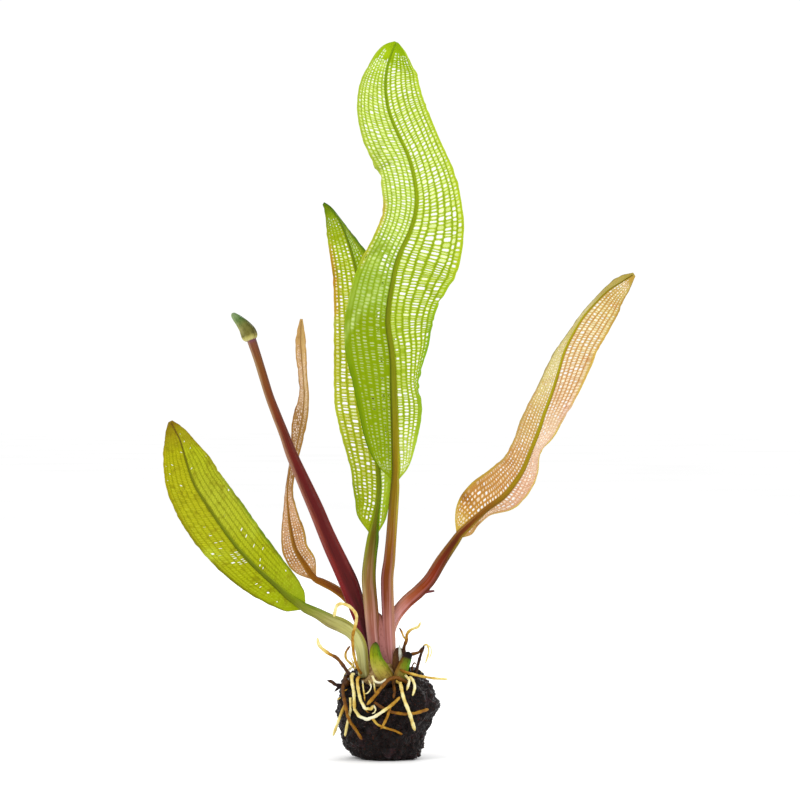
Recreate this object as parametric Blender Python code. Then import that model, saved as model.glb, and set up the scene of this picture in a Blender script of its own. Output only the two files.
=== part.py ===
"""Madagascar lace plant growing out of a lump of peat: five leaves, a flower stalk with its bud, two young shoots,
the root stock and its roots. Metres, +Z up, front toward -Y; the origin is the middle of the lump's flat underside."""

import bmesh
import bpy
import numpy as np

MM = 0.001
GAP = 0.3                     # air left between neighbouring pieces, mm
FRONT = np.array([0.0, -1.0, 0.0])

# Peat lump: height, then how far it reaches to the left, right, front and back, mm
LUMP = [
    (0.0, -9.2, 10.2, -9.6, 9.6),
    (1.2, -11.2, 11.6, -11.4, 11.2),
    (3.4, -14.0, 13.1, -13.3, 13.1),
    (6.5, -16.4, 13.5, -14.8, 14.6),
    (10.5, -17.0, 14.7, -15.8, 15.6),
    (14.8, -17.6, 16.8, -16.6, 16.4),
    (19.0, -17.9, 19.1, -17.0, 17.0),
    (23.0, -17.6, 17.2, -16.6, 16.6),
    (26.3, -17.0, 15.5, -15.4, 15.6),
    (29.2, -15.1, 13.8, -13.8, 14.0),
    (31.2, -13.2, 12.0, -12.4, 12.6),
    (32.2, -11.8, 10.4, -11.4, 11.2),
]
LUMP_SIDES = 40
FRONT_DROP = 6.0              # the rim is lower at the front, where the root stock shows, mm

# Root stock: height, left, right, front, back, mm. A ledge in front carries the two young shoots.
STOCK = [
    (24.4, -6.0, 4.0, -5.5, 5.0),
    (25.0, -8.6, 6.4, -8.4, 6.8),
    (26.8, -9.8, 7.6, -9.6, 7.8),
    (28.2, -10.0, 7.8, -9.6, 8.0),
    (28.7, -10.0, 7.6, -8.8, 8.0),
    (28.9, -10.0, 7.2, -5.6, 8.0),
    (31.2, -10.0, 6.6, -5.4, 7.4),
    (31.8, -9.2, 5.8, -4.8, 6.6),
]
STOCK_SIDES = 24

# Leaf stalks: x, y, z, half width, half depth. Blades: x, y, z along the midrib, then half widths left and right of it.
# Edges: share of the blade's length, then how far the left and right margins stand toward the front, mm.
LEAVES = {
    "leaf_tall": {
        "colour": (0.32, 0.50, 0.06),
        "stalk": [
            (1.4, -2.1, 32.6, 2.0, 1.5), (1.0, -2.1, 37.6, 2.2, 1.5), (0.7, -2.0, 42.6, 2.4, 1.5),
            (0.3, -1.7, 52.7, 2.4, 1.5), (0.0, -1.4, 64.2, 2.4, 1.5), (0.8, -1.2, 71.3, 2.2, 1.4),
            (1.4, -1.0, 78.5, 2.0, 1.3), (2.2, -1.0, 89.3, 1.9, 1.2), (2.8, -1.0, 97.5, 1.7, 1.1),
        ],
        "blade": [
            (2.9, -1.0, 100.1, 2.0, 2.3), (3.1, -1.4, 105.5, 6.7, 5.0), (2.9, -2.0, 114.1, 10.5, 7.8),
            (2.6, -2.8, 124.6, 12.7, 10.0), (2.3, -3.5, 134.3, 14.4, 9.4), (2.1, -4.1, 141.8, 16.0, 11.2),
            (1.5, -4.7, 147.9, 16.5, 13.9), (0.6, -5.3, 153.3, 16.0, 15.8), (0.3, -5.8, 158.3, 15.3, 16.5),
            (0.9, -6.4, 164.7, 14.4, 17.5), (2.0, -7.0, 170.8, 13.8, 19.3), (3.2, -7.6, 176.8, 12.4, 21.2),
            (4.9, -8.1, 181.8, 11.2, 21.4), (6.9, -8.2, 186.1, 11.3, 21.0), (8.8, -8.4, 190.6, 11.4, 19.5),
            (10.1, -8.6, 195.4, 11.7, 17.8), (10.6, -8.8, 200.0, 12.0, 16.1), (10.3, -9.0, 204.8, 12.2, 15.1),
            (9.3, -9.2, 210.3, 12.0, 14.0), (7.5, -9.4, 216.4, 11.9, 12.8), (5.0, -9.0, 221.8, 12.5, 13.0),
            (2.7, -8.2, 226.8, 12.3, 13.2), (0.7, -7.4, 232.3, 11.5, 13.2), (-0.3, -6.7, 237.7, 10.4, 12.7),
            (-0.5, -6.0, 243.1, 8.8, 12.0), (0.2, -5.2, 248.6, 6.4, 10.7), (1.6, -4.6, 253.0, 4.8, 7.2),
            (2.6, -4.3, 255.4, 3.3, 4.5), (3.4, -4.0, 257.3, 0.7, 0.8),
        ],
        "edges": [(0.0, 0, 0), (0.15, 2, -2), (0.35, -3, 1), (0.5, 1, -4), (0.62, 2.2, -1), (0.8, -1, -2), (1.0, 0, 0)],
        "ruffle": (1.3, 1.5, 5.0),
        "rings": (8, 30),
    },
    "leaf_centre": {
        "colour": (0.40, 0.52, 0.08),
        "stalk": [
            (-3.6, -2.2, 32.6, 2.2, 1.5), (-4.2, -2.3, 39.1, 2.5, 1.5), (-5.0, -2.2, 45.5, 2.6, 1.5),
            (-5.7, -2.0, 53.4, 2.7, 1.5), (-6.6, -1.4, 64.2, 2.7, 1.5), (-6.2, -0.4, 71.3, 2.5, 1.4),
            (-5.2, 0.8, 78.6, 2.3, 1.3),
        ],
        "blade": [
            (-4.9, 1.2, 81.0, 2.3, 2.0), (-4.1, 2.1, 86.0, 6.7, 3.5), (-3.3, 3.0, 91.0, 8.2, 3.9),
            (-2.8, 4.1, 97.1, 9.6, 4.3), (-3.1, 5.0, 103.2, 9.8, 5.2), (-3.5, 6.0, 110.1, 11.2, 6.4),
            (-4.0, 7.0, 118.0, 12.9, 7.6), (-4.7, 8.0, 127.1, 14.2, 8.7), (-5.7, 8.9, 136.1, 13.7, 9.3),
            (-6.8, 9.9, 147.0, 12.6, 9.9), (-8.0, 10.7, 157.2, 11.5, 10.0), (-9.7, 11.5, 167.0, 9.8, 9.6),
            (-11.3, 12.0, 176.1, 8.7, 7.7), (-13.7, 12.0, 184.9, 7.7, 3.8), (-17.1, 12.0, 193.6, 5.6, 0.9),
            (-20.8, 12.0, 198.7, 2.6, 0.6), (-23.2, 12.0, 200.4, 0.6, 0.5),
        ],
        "edges": [(0.0, 0, 0), (0.2, -1, 2), (0.5, -2, 1), (0.75, -1, 0), (0.88, -1, -4), (0.96, -1, -3), (1.0, 0, 0)],
        "ruffle": (1.4, 0.8, 4.0),
        "rings": (7, 23),
    },
    "leaf_right": {
        "colour": (0.70, 0.40, 0.22),
        "stalk": [
            (1.4, 1.5, 32.9, 1.9, 1.3), (0.6, 1.5, 39.5, 2.1, 1.3), (0.7, 1.6, 45.3, 2.3, 1.4),
            (2.9, 1.8, 51.0, 2.4, 1.5), (6.9, 2.0, 56.0, 2.5, 1.6), (11.5, 2.5, 60.0, 2.5, 1.7),
            (15.5, 3.0, 64.3, 2.4, 1.7), (19.7, 3.5, 71.1, 2.2, 1.6), (24.7, 3.9, 78.2, 1.8, 1.3),
        ],
        "blade": [
            (26.0, 4.0, 80.1, 1.9, 2.3), (28.5, 4.5, 82.6, 5.7, 3.2), (31.4, 5.0, 85.3, 8.8, 2.4),
            (36.3, 5.8, 89.6, 10.8, 2.9), (41.9, 6.7, 93.7, 11.0, 5.8), (46.0, 7.5, 98.5, 10.0, 6.5),
            (49.5, 8.5, 104.0, 8.4, 5.7), (52.4, 9.5, 111.0, 7.3, 3.6), (55.2, 10.6, 117.9, 7.5, 6.0),
            (57.3, 11.5, 124.2, 6.9, 7.2), (60.1, 12.7, 131.8, 5.7, 8.8), (62.3, 13.7, 138.7, 4.7, 10.1),
            (64.4, 14.7, 145.8, 3.2, 11.0), (67.3, 15.7, 152.0, 1.8, 10.7), (71.5, 16.8, 159.0, 1.2, 10.8),
            (76.4, 17.5, 164.6, 1.3, 9.4), (80.6, 18.0, 168.7, 1.6, 7.5), (85.6, 18.5, 172.0, 2.3, 4.6),
            (90.3, 19.0, 174.9, 0.7, 0.9),
        ],
        "edges": [(0.0, 0, 0), (0.12, 1, -5), (0.3, 0, -3), (0.45, -2, 1), (0.65, -4, 1), (0.8, -5, 0), (1.0, 0, 0)],
        "ruffle": (1.0, 1.1, 4.5),
        "rings": (10, 24),
    },
    "leaf_left": {
        "colour": (0.35, 0.42, 0.05),
        "stalk": [
            (-8.7, -3.7, 32.6, 2.0, 1.4), (-8.9, -3.7, 36.9, 2.2, 1.5), (-9.5, -3.7, 40.2, 2.4, 1.5),
            (-10.8, -3.7, 43.2, 2.5, 1.6), (-13.0, -3.7, 45.8, 2.6, 1.6), (-16.3, -3.7, 47.9, 2.8, 1.7),
            (-20.4, -4.0, 49.6, 2.6, 1.7), (-24.7, -4.4, 52.1, 2.1, 1.5), (-28.8, -4.9, 54.0, 1.9, 1.2),
        ],
        "blade": [
            (-30.1, -5.0, 54.8, 1.9, 1.9), (-32.6, -5.5, 56.7, 4.4, 5.0), (-35.5, -6.1, 58.7, 5.7, 6.6),
            (-40.9, -7.3, 63.7, 7.9, 8.1), (-47.5, -8.7, 69.8, 9.3, 9.8), (-53.9, -10.9, 77.0, 10.3, 10.7),
            (-59.8, -13.3, 85.3, 11.1, 10.9), (-64.1, -15.3, 91.9, 10.9, 10.5), (-68.3, -17.5, 99.0, 9.8, 10.0),
            (-70.8, -19.7, 106.6, 8.4, 8.4), (-72.9, -21.9, 114.3, 6.3, 4.4), (-74.8, -23.1, 118.3, 3.9, 2.7),
            (-76.3, -24.0, 121.4, 0.8, 0.7),
        ],
        "edges": [(0.0, 0, 0), (0.25, 2, 1), (0.6, 2.5, 1.5), (0.85, 1, 1), (1.0, 0, 0)],
        "ruffle": (0.5, 0.5, 3.0),
        "rings": (10, 20),
    },
    "leaf_withered": {
        "colour": (0.55, 0.30, 0.16),
        "stalk": [
            (0.2, 4.8, 33.2, 1.4, 1.1), (-3.3, 5.5, 42.1, 1.6, 1.2), (-9.1, 6.0, 50.7, 1.7, 1.3),
            (-14.9, 6.6, 57.4, 1.7, 1.3), (-19.3, 8.2, 60.6, 1.6, 1.2), (-23.6, 11.2, 62.6, 1.5, 1.0),
        ],
        "blade": [
            (-26.6, 13.0, 64.1, 2.2, 2.0), (-29.9, 14.4, 68.8, 4.7, 4.4), (-33.3, 15.9, 74.2, 5.0, 4.6),
            (-35.1, 17.5, 80.7, 3.7, 5.0), (-36.1, 19.3, 87.9, 2.0, 3.4), (-36.5, 20.9, 95.2, 1.0, 2.1),
            (-35.5, 22.7, 103.9, 0.8, 2.0), (-33.3, 24.3, 111.3, 1.8, 1.7), (-32.1, 25.5, 117.1, 3.3, 1.8),
            (-31.0, 26.4, 123.4, 3.5, 1.9), (-30.5, 27.1, 130.7, 2.0, 1.7), (-30.9, 27.9, 138.1, 1.9, 1.4),
            (-31.6, 28.7, 145.5, 2.1, 1.8), (-32.0, 29.3, 151.7, 1.7, 1.8), (-31.7, 30.0, 158.8, 0.5, 0.5),
        ],
        "edges": [(0.0, 0, 0), (0.15, -3, 4), (0.35, -5, 5), (0.55, -4, 5), (0.75, -4, 4), (0.9, -3, 3), (1.0, 0, 0)],
        "ruffle": (0.6, 0.6, 4.0),
        "rings": (9, 22),
    },
}
ACROSS = 7                    # points across a leaf
MARGIN = 0.5                  # thickness of a blade at its margin, mm
MIDRIB = (1.9, 0.8)           # thickness at the midrib, from the blade's base to its tip, mm

# Flower stalk, bud and young shoots: x, y, z, half width, half depth, mm
FLOWER_STALK = [
    (-3.8, 1.9, 33.2, 2.4, 1.6), (-5.4, 1.9, 39.5, 2.6, 1.7), (-7.6, 1.9, 45.5, 2.8, 1.8),
    (-11.0, 1.6, 55.1, 3.2, 1.9), (-13.7, 1.3, 62.8, 3.5, 2.0), (-16.7, 1.0, 69.4, 3.3, 2.1),
    (-19.8, 0.7, 76.0, 3.1, 2.2), (-22.7, 0.5, 82.7, 2.9, 2.2), (-25.5, 0.4, 89.5, 2.8, 2.2),
    (-28.5, 0.4, 96.2, 2.6, 2.1), (-31.5, 0.3, 102.9, 2.3, 2.0), (-34.4, 0.3, 109.4, 2.1, 1.9),
    (-36.9, 0.2, 116.2, 1.8, 1.7), (-39.6, 0.2, 123.0, 1.7, 1.6), (-42.2, 0.1, 129.8, 1.6, 1.6),
    (-44.3, 0.1, 136.5, 1.6, 1.6), (-46.5, 0.0, 143.7, 1.6, 1.6), (-48.7, 0.0, 150.0, 1.7, 1.7),
]
BUD = [
    (-48.9, 0.0, 150.5, 2.2, 2.0), (-49.3, 0.0, 151.6, 2.9, 2.5), (-50.0, 0.0, 153.2, 3.0, 2.6),
    (-51.2, 0.0, 155.2, 2.5, 2.2), (-52.8, 0.0, 157.0, 2.0, 1.8), (-54.4, 0.0, 158.6, 1.5, 1.4),
    (-55.4, 0.0, 159.6, 1.0, 0.9), (-55.9, 0.0, 160.1, 0.4, 0.4),
]
GREEN_SHOOT = [
    (-1.2, -7.8, 30.0, 2.6, 1.6), (-1.9, -7.9, 31.8, 2.9, 1.8), (-3.0, -7.9, 33.9, 2.9, 1.9),
    (-3.8, -7.7, 36.0, 2.6, 1.8), (-4.3, -7.3, 38.7, 2.1, 1.6), (-4.2, -7.0, 40.8, 1.5, 1.2),
    (-3.9, -6.8, 42.3, 0.5, 0.5),
]
CUT_SHOOT = [
    (4.8, -6.4, 29.9, 2.0, 1.5), (5.5, -6.4, 32.0, 2.2, 1.6), (6.5, -6.3, 34.9, 2.3, 1.7),
    (7.6, -6.2, 37.6, 2.4, 1.7), (7.9, -6.2, 38.5, 2.1, 1.5),
]

# Roots: half thickness at the start and the end, then the way-points. A point of two numbers (x, z) lies on the front
# of the lump, or on its back for the roots named so, and one of three (x, y, z) is free. All mm.
ROOTS = {
    "root_01": (0.6, 0.7, [
        (-10.6, -7.5, 33.4), (-11.8, -8.6, 38.0), (-12.2, -8.6, 44.0), (-11.2, -8.6, 48.6), (-10.9, -8.8, 51.8),
        (-12.8, -9.0, 54.6), (-15.8, -9.0, 56.0), (-17.9, -9.0, 55.2), (-18.9, -9.0, 51.3)]),
    "root_02": (0.8, 0.7, [
        (-13.6, -8.6, 31.0), (-15.8, -8.6, 34.1), (-18.0, -8.4, 36.7), (-21.0, -8.2, 38.4), (-24.1, -8.0, 41.1),
        (-24.9, -8.0, 43.9)]),
    "root_03": (0.5, 0.5, [
        (-12.6, -4.6, 33.9), (-14.6, -4.8, 36.0), (-14.7, -5.0, 38.4), (-13.2, -5.2, 40.8)]),
    "root_04": (0.9, 0.6, [(-18.4, -6.4, 27.0), (-19.6, -6.6, 27.9), (-21.4, -6.8, 28.5)]),
    "root_05": (0.8, 0.5, [
        (7.6, 0.6, 32.4), (6.6, 0.3, 36.0), (6.1, 0.1, 39.4), (7.0, 0.0, 42.3), (7.2, 0.0, 44.6), (8.6, 0.0, 46.2),
        (11.2, 0.0, 47.3), (12.1, 0.0, 49.0)]),
    "root_06": (0.45, 0.4, [(5.9, -1.0, 44.0), (5.2, -1.1, 45.6), (4.4, -1.1, 47.1)]),
    "root_07": (0.7, 0.6, [(11.0, -2.6, 33.4), (12.0, -2.6, 36.8), (13.4, -2.6, 41.0)]),
    "root_08": (0.6, 0.5, [(8.2, -0.6, 34.0), (9.2, -0.6, 37.4), (11.0, -0.8, 38.4), (12.0, -0.8, 39.6)]),
    "root_09": (0.4, 0.4, [(14.4, -3.4, 41.0), (15.0, -3.6, 38.6), (13.8, -3.8, 34.4)]),
    "root_10": (0.6, 0.5, [
        (6.0, -9.3, 31.9), (8.6, -9.8, 31.2), (12.4, -9.4, 30.2), (17.0, -9.0, 29.4), (21.8, -8.8, 29.1)]),
    "root_11": (0.6, 0.5, [(7.9, -11.2, 29.2), (7.8, -13.0, 27.8), (7.0, 25.4)]),
    "root_12": (0.7, 0.5, [(9.7, -11.0, 28.8), (9.9, -11.4, 26.4), (9.1, 23.6)]),
    "root_13": (0.7, 0.75, [
        (4.6, -10.3, 27.6), (4.9, -13.2, 27.6), (5.9, -17.2, 23.2), (8.1, -18.0, 17.7), (10.0, -14.8, 11.3)]),
    "root_14": (0.8, 0.7, [
        (6.4, -10.8, 28.6), (3.4, -12.2, 29.9), (0.7, -13.4, 29.3), (-1.9, -15.6, 26.7), (-4.5, -17.8, 23.7),
        (-7.1, -17.6, 20.7)]),
    "root_15": (0.7, 0.6, [(2.4, -10.9, 28.0), (2.7, 25.4), (2.4, 22.9)]),
    "root_16": (0.7, 0.75, [
        (-12.2, 18.6), (-10.6, 16.9), (-8.4, 15.8), (-5.8, 16.0), (-2.3, 18.2), (0.7, 20.0)]),
    "root_17": (0.6, 0.65, [(3.0, 17.7), (7.0, 17.2), (11.4, 17.7), (15.1, 18.7)]),
    "root_18": (0.6, 0.5, [(0.6, 18.2), (-0.8, -18.5, 15.6), (-2.3, -19.0, 12.3)]),
    "root_19": (0.5, 0.5, [(-3.4, 13.9), (-1.4, 12.9), (1.6, 11.7), (5.6, 9.8)]),
    "root_20": (0.65, 0.65, [(-10.5, -11.2, 29.4), (-10.3, -12.9, 26.4), (-9.3, 22.2), (-7.9, 19.4), (-5.8, 19.0), (-4.9, 20.2)]),
    "root_21": (0.75, 0.7, [(-12.6, -8.4, 30.6), (-12.4, -10.9, 28.4), (-11.7, 24.6), (-11.5, 19.3)]),
    "root_22": (0.7, 0.65, [
        (-14.6, -8.8, 30.0), (-15.7, -10.6, 25.5), (-14.9, -12.2, 20.8), (-13.7, -13.4, 15.6), (-11.0, 11.4),
        (-8.8, 8.0)]),
    "root_23": (0.6, 0.6, [(-13.0, 22.4), (-12.9, 18.6), (-14.0, 13.6), (-15.0, -9.8, 8.8)]),
    "root_24": (0.6, 0.6, [(-16.9, 20.0), (-17.6, -8.6, 14.6), (-19.3, -8.8, 8.8)]),
    "root_25": (0.5, 0.5, [(-5.7, -10.3, 30.2), (-4.7, -11.4, 29.2), (-2.8, -11.0, 30.6), (-1.0, -10.6, 31.0)]),
    "root_back_1": (0.7, 0.6, [
        (-3.0, 8.8, 32.6), (-3.6, 11.4, 33.7), (-4.1, 14.2, 31.0), (-4.4, 25.0), (-6.5, 18.0), (-5.2, 9.0)]),
    "root_back_2": (0.6, 0.6, [
        (3.5, 8.6, 32.6), (4.4, 11.0, 33.5), (5.2, 13.8, 31.0), (6.6, 25.0), (9.4, 18.5), (12.2, 15.0)]),
    "root_back_3": (0.7, 0.5, [
        (-7.3, 6.2, 33.2), (-9.2, 8.8, 34.0), (-11.2, 11.8, 31.4), (-13.0, 24.5), (-12.2, 17.0), (-13.0, 11.0)]),
    "root_back_4": (0.6, 0.5, [
        (0.6, 8.6, 32.6), (1.0, 11.4, 33.6), (1.4, 14.2, 30.8), (1.2, 24.0), (-1.0, 16.0), (1.8, 10.5)]),
}
ROOT_SIDES = 6
ROOT_STEP = 2.3               # spacing of a root's cross-sections, mm


def smooth(rows, count):
    """Even steps along a curve through rows of numbers, of which the first three are the position."""
    rows = np.array(rows, float)
    ends = np.vstack([2 * rows[0] - rows[1], rows, 2 * rows[-1] - rows[-2]])
    steps = np.linspace(0.0, 1.0, 12, endpoint=False)[:, None]
    fine = [
        b + 0.5 * steps * (c - a + steps * (2 * a - 5 * b + 4 * c - d + steps * (3 * b - a - 3 * c + d)))
        for a, b, c, d in zip(ends, ends[1:], ends[2:], ends[3:])
    ]
    fine = np.vstack(fine + [rows[-1:]])
    travelled = np.r_[0, np.cumsum(np.linalg.norm(np.diff(fine[:, :3], axis=0), axis=1))]
    at = np.linspace(0, travelled[-1], count)
    return np.column_stack([np.interp(at, travelled, column) for column in fine.T])


def unit(vectors):
    return vectors / np.linalg.norm(vectors, axis=-1, keepdims=True)


def material(name, colour):
    made = bpy.data.materials.new(name)
    made.use_nodes = True
    made.diffuse_color = (*colour, 1)
    shader = made.node_tree.nodes["Principled BSDF"]
    shader.inputs["Base Color"].default_value = (*colour, 1)
    shader.inputs["Roughness"].default_value = 0.5
    shader.inputs["Metallic"].default_value = 0.0
    return made


def loft(name, rings, colour):
    """One closed body through rings of equally many points in mm, with a flat face at each end."""
    built = bmesh.new()
    rows = [[built.verts.new(point * MM) for point in ring] for ring in rings]
    for low, high in zip(rows, rows[1:]):
        for i in range(len(low)):
            built.faces.new([low[i - 1], low[i], high[i], high[i - 1]])
    built.faces.new(rows[0][::-1])
    built.faces.new(rows[-1])
    bmesh.ops.triangulate(built, faces=built.faces, quad_method="SHORT_EDGE")
    bmesh.ops.recalc_face_normals(built, faces=built.faces)
    mesh = bpy.data.meshes.new(name)
    built.to_mesh(mesh)
    built.free()
    mesh.materials.append(material(name, colour))
    made = bpy.data.objects.new(name, mesh)
    plant.objects.link(made)
    return made


def stem(name, rows, count, sides, colour):
    """A body with oval cross-sections, facing the front, along rows of x, y, z, half width, half depth."""
    rows = smooth(rows, count)
    along = unit(np.gradient(rows[:, :3], axis=0))
    side = unit(np.cross(along, FRONT))
    face = np.cross(side, along)
    turn = np.linspace(0, 2 * np.pi, sides, endpoint=False)[:, None]
    rings = [
        row[:3] + np.cos(turn) * row[3] * s + np.sin(turn) * row[4] * f
        for row, s, f in zip(rows, side, face)
    ]
    return loft(name, rings, colour)


def leaf(name, colour, stalk, blade, edges, ruffle, rings):
    """One leaf: an oval stalk that flattens into a blade with a thick midrib and a thin, wavy margin."""
    stalk = smooth([(x, y, z, w, w, 2 * d) for x, y, z, w, d in stalk], rings[0])
    blade = smooth(blade, rings[1])
    share = np.linspace(0, 1, rings[1])
    midrib = MIDRIB[0] + (MIDRIB[1] - MIDRIB[0]) * share
    rows = np.vstack([stalk, np.column_stack([blade, midrib])])
    share = np.r_[np.zeros(rings[0]), share]
    flat = np.r_[np.zeros(rings[0]), np.minimum(1, 12 * np.linspace(0, 1, rings[1]))][:, None]
    stands = np.array([np.interp(share, *np.array(edges, float)[:, [0, column]].T) for column in (1, 2)])

    even = np.linspace(-1, 1, ACROSS)[None, :]
    t = flat * even + (1 - flat) * np.sin(even * np.pi / 2)
    wide = np.where(t < 0, rows[:, 3:4], rows[:, 4:5])
    stand = np.where(t < 0, stands[0][:, None], stands[1][:, None])
    wave = np.where(t < 0, ruffle[0], ruffle[1]) * np.sin(2 * np.pi * ruffle[2] * share[:, None] + 1.3 * (t > 0))
    fade = np.minimum(1, 6 * (1 - share))[:, None]
    lift = flat * fade * (stand * np.abs(t) ** 1.3 + wave * t * t)

    along = unit(np.gradient(rows[:, :3], axis=0))
    side = unit(np.cross(along, FRONT))
    middle = rows[:, None, :3] + side[:, None] * (t * wide)[..., None] + FRONT * lift[..., None]
    normal = unit(np.cross(np.gradient(middle, axis=1), np.gradient(middle, axis=0)))
    normal = unit(normal + 0.7 * FRONT)
    oval = rows[:, 5:6] * np.maximum(0.3, np.sqrt(1 - np.minimum(1, t * t)))
    lens = MARGIN + (rows[:, 5:6] - MARGIN) * np.exp(-((t * wide / 1.4) ** 2))
    half = 0.5 * (flat * lens + (1 - flat) * oval)[..., None]
    front = middle + normal * half
    back = middle - normal * half
    return loft(name, np.concatenate([front, back[:, ::-1]], axis=1), colour)


def lump_height(height, forward):
    """Height of the lump's surface once its front rim is lowered; forward runs from 0 at the sides to 1 in front."""
    return height - FRONT_DROP * forward * np.clip((height - 22.0) / 10.0, 0, 1) ** 1.5


def rough(turn, height):
    """Inward dents of the peat, 0 to 1."""
    waves = (
        np.sin(3 * turn + 0.21 * height) + np.sin(5 * turn - 0.33 * height + 1.0)
        + np.sin(8 * turn + 0.55 * height + 2.1) + np.sin(13 * turn - 0.8 * height + 0.4)
    )
    return 0.5 + 0.125 * waves


def oval_ring(row, sides):
    """Ring of points at one height, reaching the row's left, right, front and back."""
    height, left, right, front, back = row
    turn = np.linspace(0, 2 * np.pi, sides, endpoint=False)
    x = (left + right) / 2 + (right - left) / 2 * np.cos(turn)
    y = np.where(np.sin(turn) < 0, -front, back) * np.sin(turn)
    return turn, np.column_stack([x, y, np.full(sides, float(height))])


def peat_lump():
    rings = []
    for row in LUMP:
        turn, ring = oval_ring(row, LUMP_SIDES)
        shrink = 1 - 0.055 * rough(turn, row[0])
        ring[:, :2] *= shrink[:, None]
        ring[:, 2] = lump_height(ring[:, 2], np.maximum(0, -np.sin(turn)))
        rings.append(ring)
    for height, grow in ((31.0, 0.9), (28.0, 0.5), (25.2, 0.45), (24.0, 0.4)):
        row = [np.interp(height, np.array(STOCK)[:, 0], np.array(STOCK)[:, i]) for i in range(5)]
        wide = [height] + [edge + np.sign(edge) * (GAP + grow) for edge in row[1:]]
        wide[3] = min(wide[3], -10.2) if height > 26 else wide[3]
        turn, ring = oval_ring(wide, LUMP_SIDES)
        ring[:, 2] = lump_height(ring[:, 2], np.maximum(0, -np.sin(turn)))
        rings.append(ring)
    return loft("peat_lump", rings, (0.03, 0.022, 0.018))


def on_lump(x, z, out, back):
    """Point at (x, z) that lies the given distance outside the front or the back of the lump."""
    rows = np.array(LUMP)
    reach = 1.0
    for _ in range(3):
        height = np.interp(z, lump_height(rows[:, 0], 0.0 if back else reach), rows[:, 0])
        left, right, front, rear = (np.interp(height, rows[:, 0], rows[:, i]) for i in range(1, 5))
        aside = np.clip((x - (left + right) / 2) / ((right - left) / 2), -0.95, 0.95)
        reach = np.sqrt(1 - aside ** 2)
    return (x, rear * reach + out, z) if back else (x, front * reach - out, z)


def root(name, start, end, points):
    """One root: a round wire that thins along its way."""
    back = "back" in name
    out = max(start, end) + GAP
    route = []
    for here, there in zip(points, points[1:] + [None]):
        route.append(on_lump(*here, out, back) if len(here) == 2 else here)
        if there and len(here) == len(there) == 2:
            middle = [(a + b) / 2 for a, b in zip(here, there)]
            route.append(on_lump(*middle, out, back))
    length = np.linalg.norm(np.diff(np.array(route), axis=0), axis=1).sum()
    rows = smooth(route, max(4, round(length / ROOT_STEP)))
    curve = bpy.data.curves.new(name, "CURVE")
    curve.dimensions = "3D"
    curve.bevel_depth = start * MM
    curve.bevel_resolution = (ROOT_SIDES - 4) // 2
    curve.use_fill_caps = True
    line = curve.splines.new("POLY")
    line.points.add(len(rows) - 1)
    for i, (point, row) in enumerate(zip(line.points, rows)):
        point.co = (*(row * MM), 1)
        point.radius = 1 + (end / start - 1) * i / (len(rows) - 1)
    curve.materials.append(material(name, (0.75, 0.58, 0.25)))
    plant.objects.link(bpy.data.objects.new(name, curve))


for old in list(bpy.data.objects):
    bpy.data.objects.remove(old)
plant = bpy.data.collections.new("Madagascar lace plant")
bpy.context.scene.collection.children.link(plant)

peat_lump()
loft("root_stock", [oval_ring(row, STOCK_SIDES)[1] for row in STOCK], (0.28, 0.18, 0.07))
for leaf_name, shape in LEAVES.items():
    leaf(leaf_name, **shape)
stem("flower_stalk", FLOWER_STALK, 26, 10, (0.16, 0.03, 0.03))
stem("flower_bud", BUD, 9, 12, (0.20, 0.25, 0.08))
stem("green_shoot", GREEN_SHOOT, 8, 10, (0.30, 0.50, 0.05))
stem("cut_shoot", CUT_SHOOT, 6, 10, (0.35, 0.40, 0.06))
for root_name, (thick, thin, way) in ROOTS.items():
    root(root_name, thick, thin, way)
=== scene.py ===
"""Madagascar lace plant growing out of its lump of wet peat.

Each leaf is a perforated blade with a ridged stalk that runs on as its midrib. The blades' surfaces, the stalks and
the roots follow the same stations as the plant's solids, in millimetres, with +Z up and the front toward -Y.
"""

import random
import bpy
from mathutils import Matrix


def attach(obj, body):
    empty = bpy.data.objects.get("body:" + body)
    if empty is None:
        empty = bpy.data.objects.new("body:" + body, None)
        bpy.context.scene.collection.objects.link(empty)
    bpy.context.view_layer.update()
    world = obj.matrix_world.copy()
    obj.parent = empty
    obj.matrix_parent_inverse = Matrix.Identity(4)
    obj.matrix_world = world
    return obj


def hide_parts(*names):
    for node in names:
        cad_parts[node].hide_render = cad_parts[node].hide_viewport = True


bl_info = {
    "name": "Madagascar lace plant",
    "version": (1, 0, 0),
    "blender": (4, 5, 0),
    "location": "3D View > Sidebar > Lace plant",
    "description": "Perforated leaves, ridged stalks, roots and wet peat for the lace plant's solids",
    "category": "Object",
}

import bpy
import numpy as np
from bpy.props import FloatProperty, FloatVectorProperty, IntProperty, PointerProperty
from mathutils import Vector, noise

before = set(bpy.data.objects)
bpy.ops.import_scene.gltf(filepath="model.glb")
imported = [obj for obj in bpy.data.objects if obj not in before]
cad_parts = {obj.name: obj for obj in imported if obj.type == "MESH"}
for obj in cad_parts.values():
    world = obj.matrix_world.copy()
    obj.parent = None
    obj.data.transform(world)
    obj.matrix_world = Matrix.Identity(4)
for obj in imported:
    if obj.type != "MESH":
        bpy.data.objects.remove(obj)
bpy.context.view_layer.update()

MM = 0.001
LIGHT, THIN_LIGHT = 1.22, 0.98    # how bright the studio light shows a white skin, and a white leaf's thin sheet
SHEEN = 0.012                     # what the skins' sheen adds to that
FRONT = np.array([0.0, -1.0, 0.0])

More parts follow.
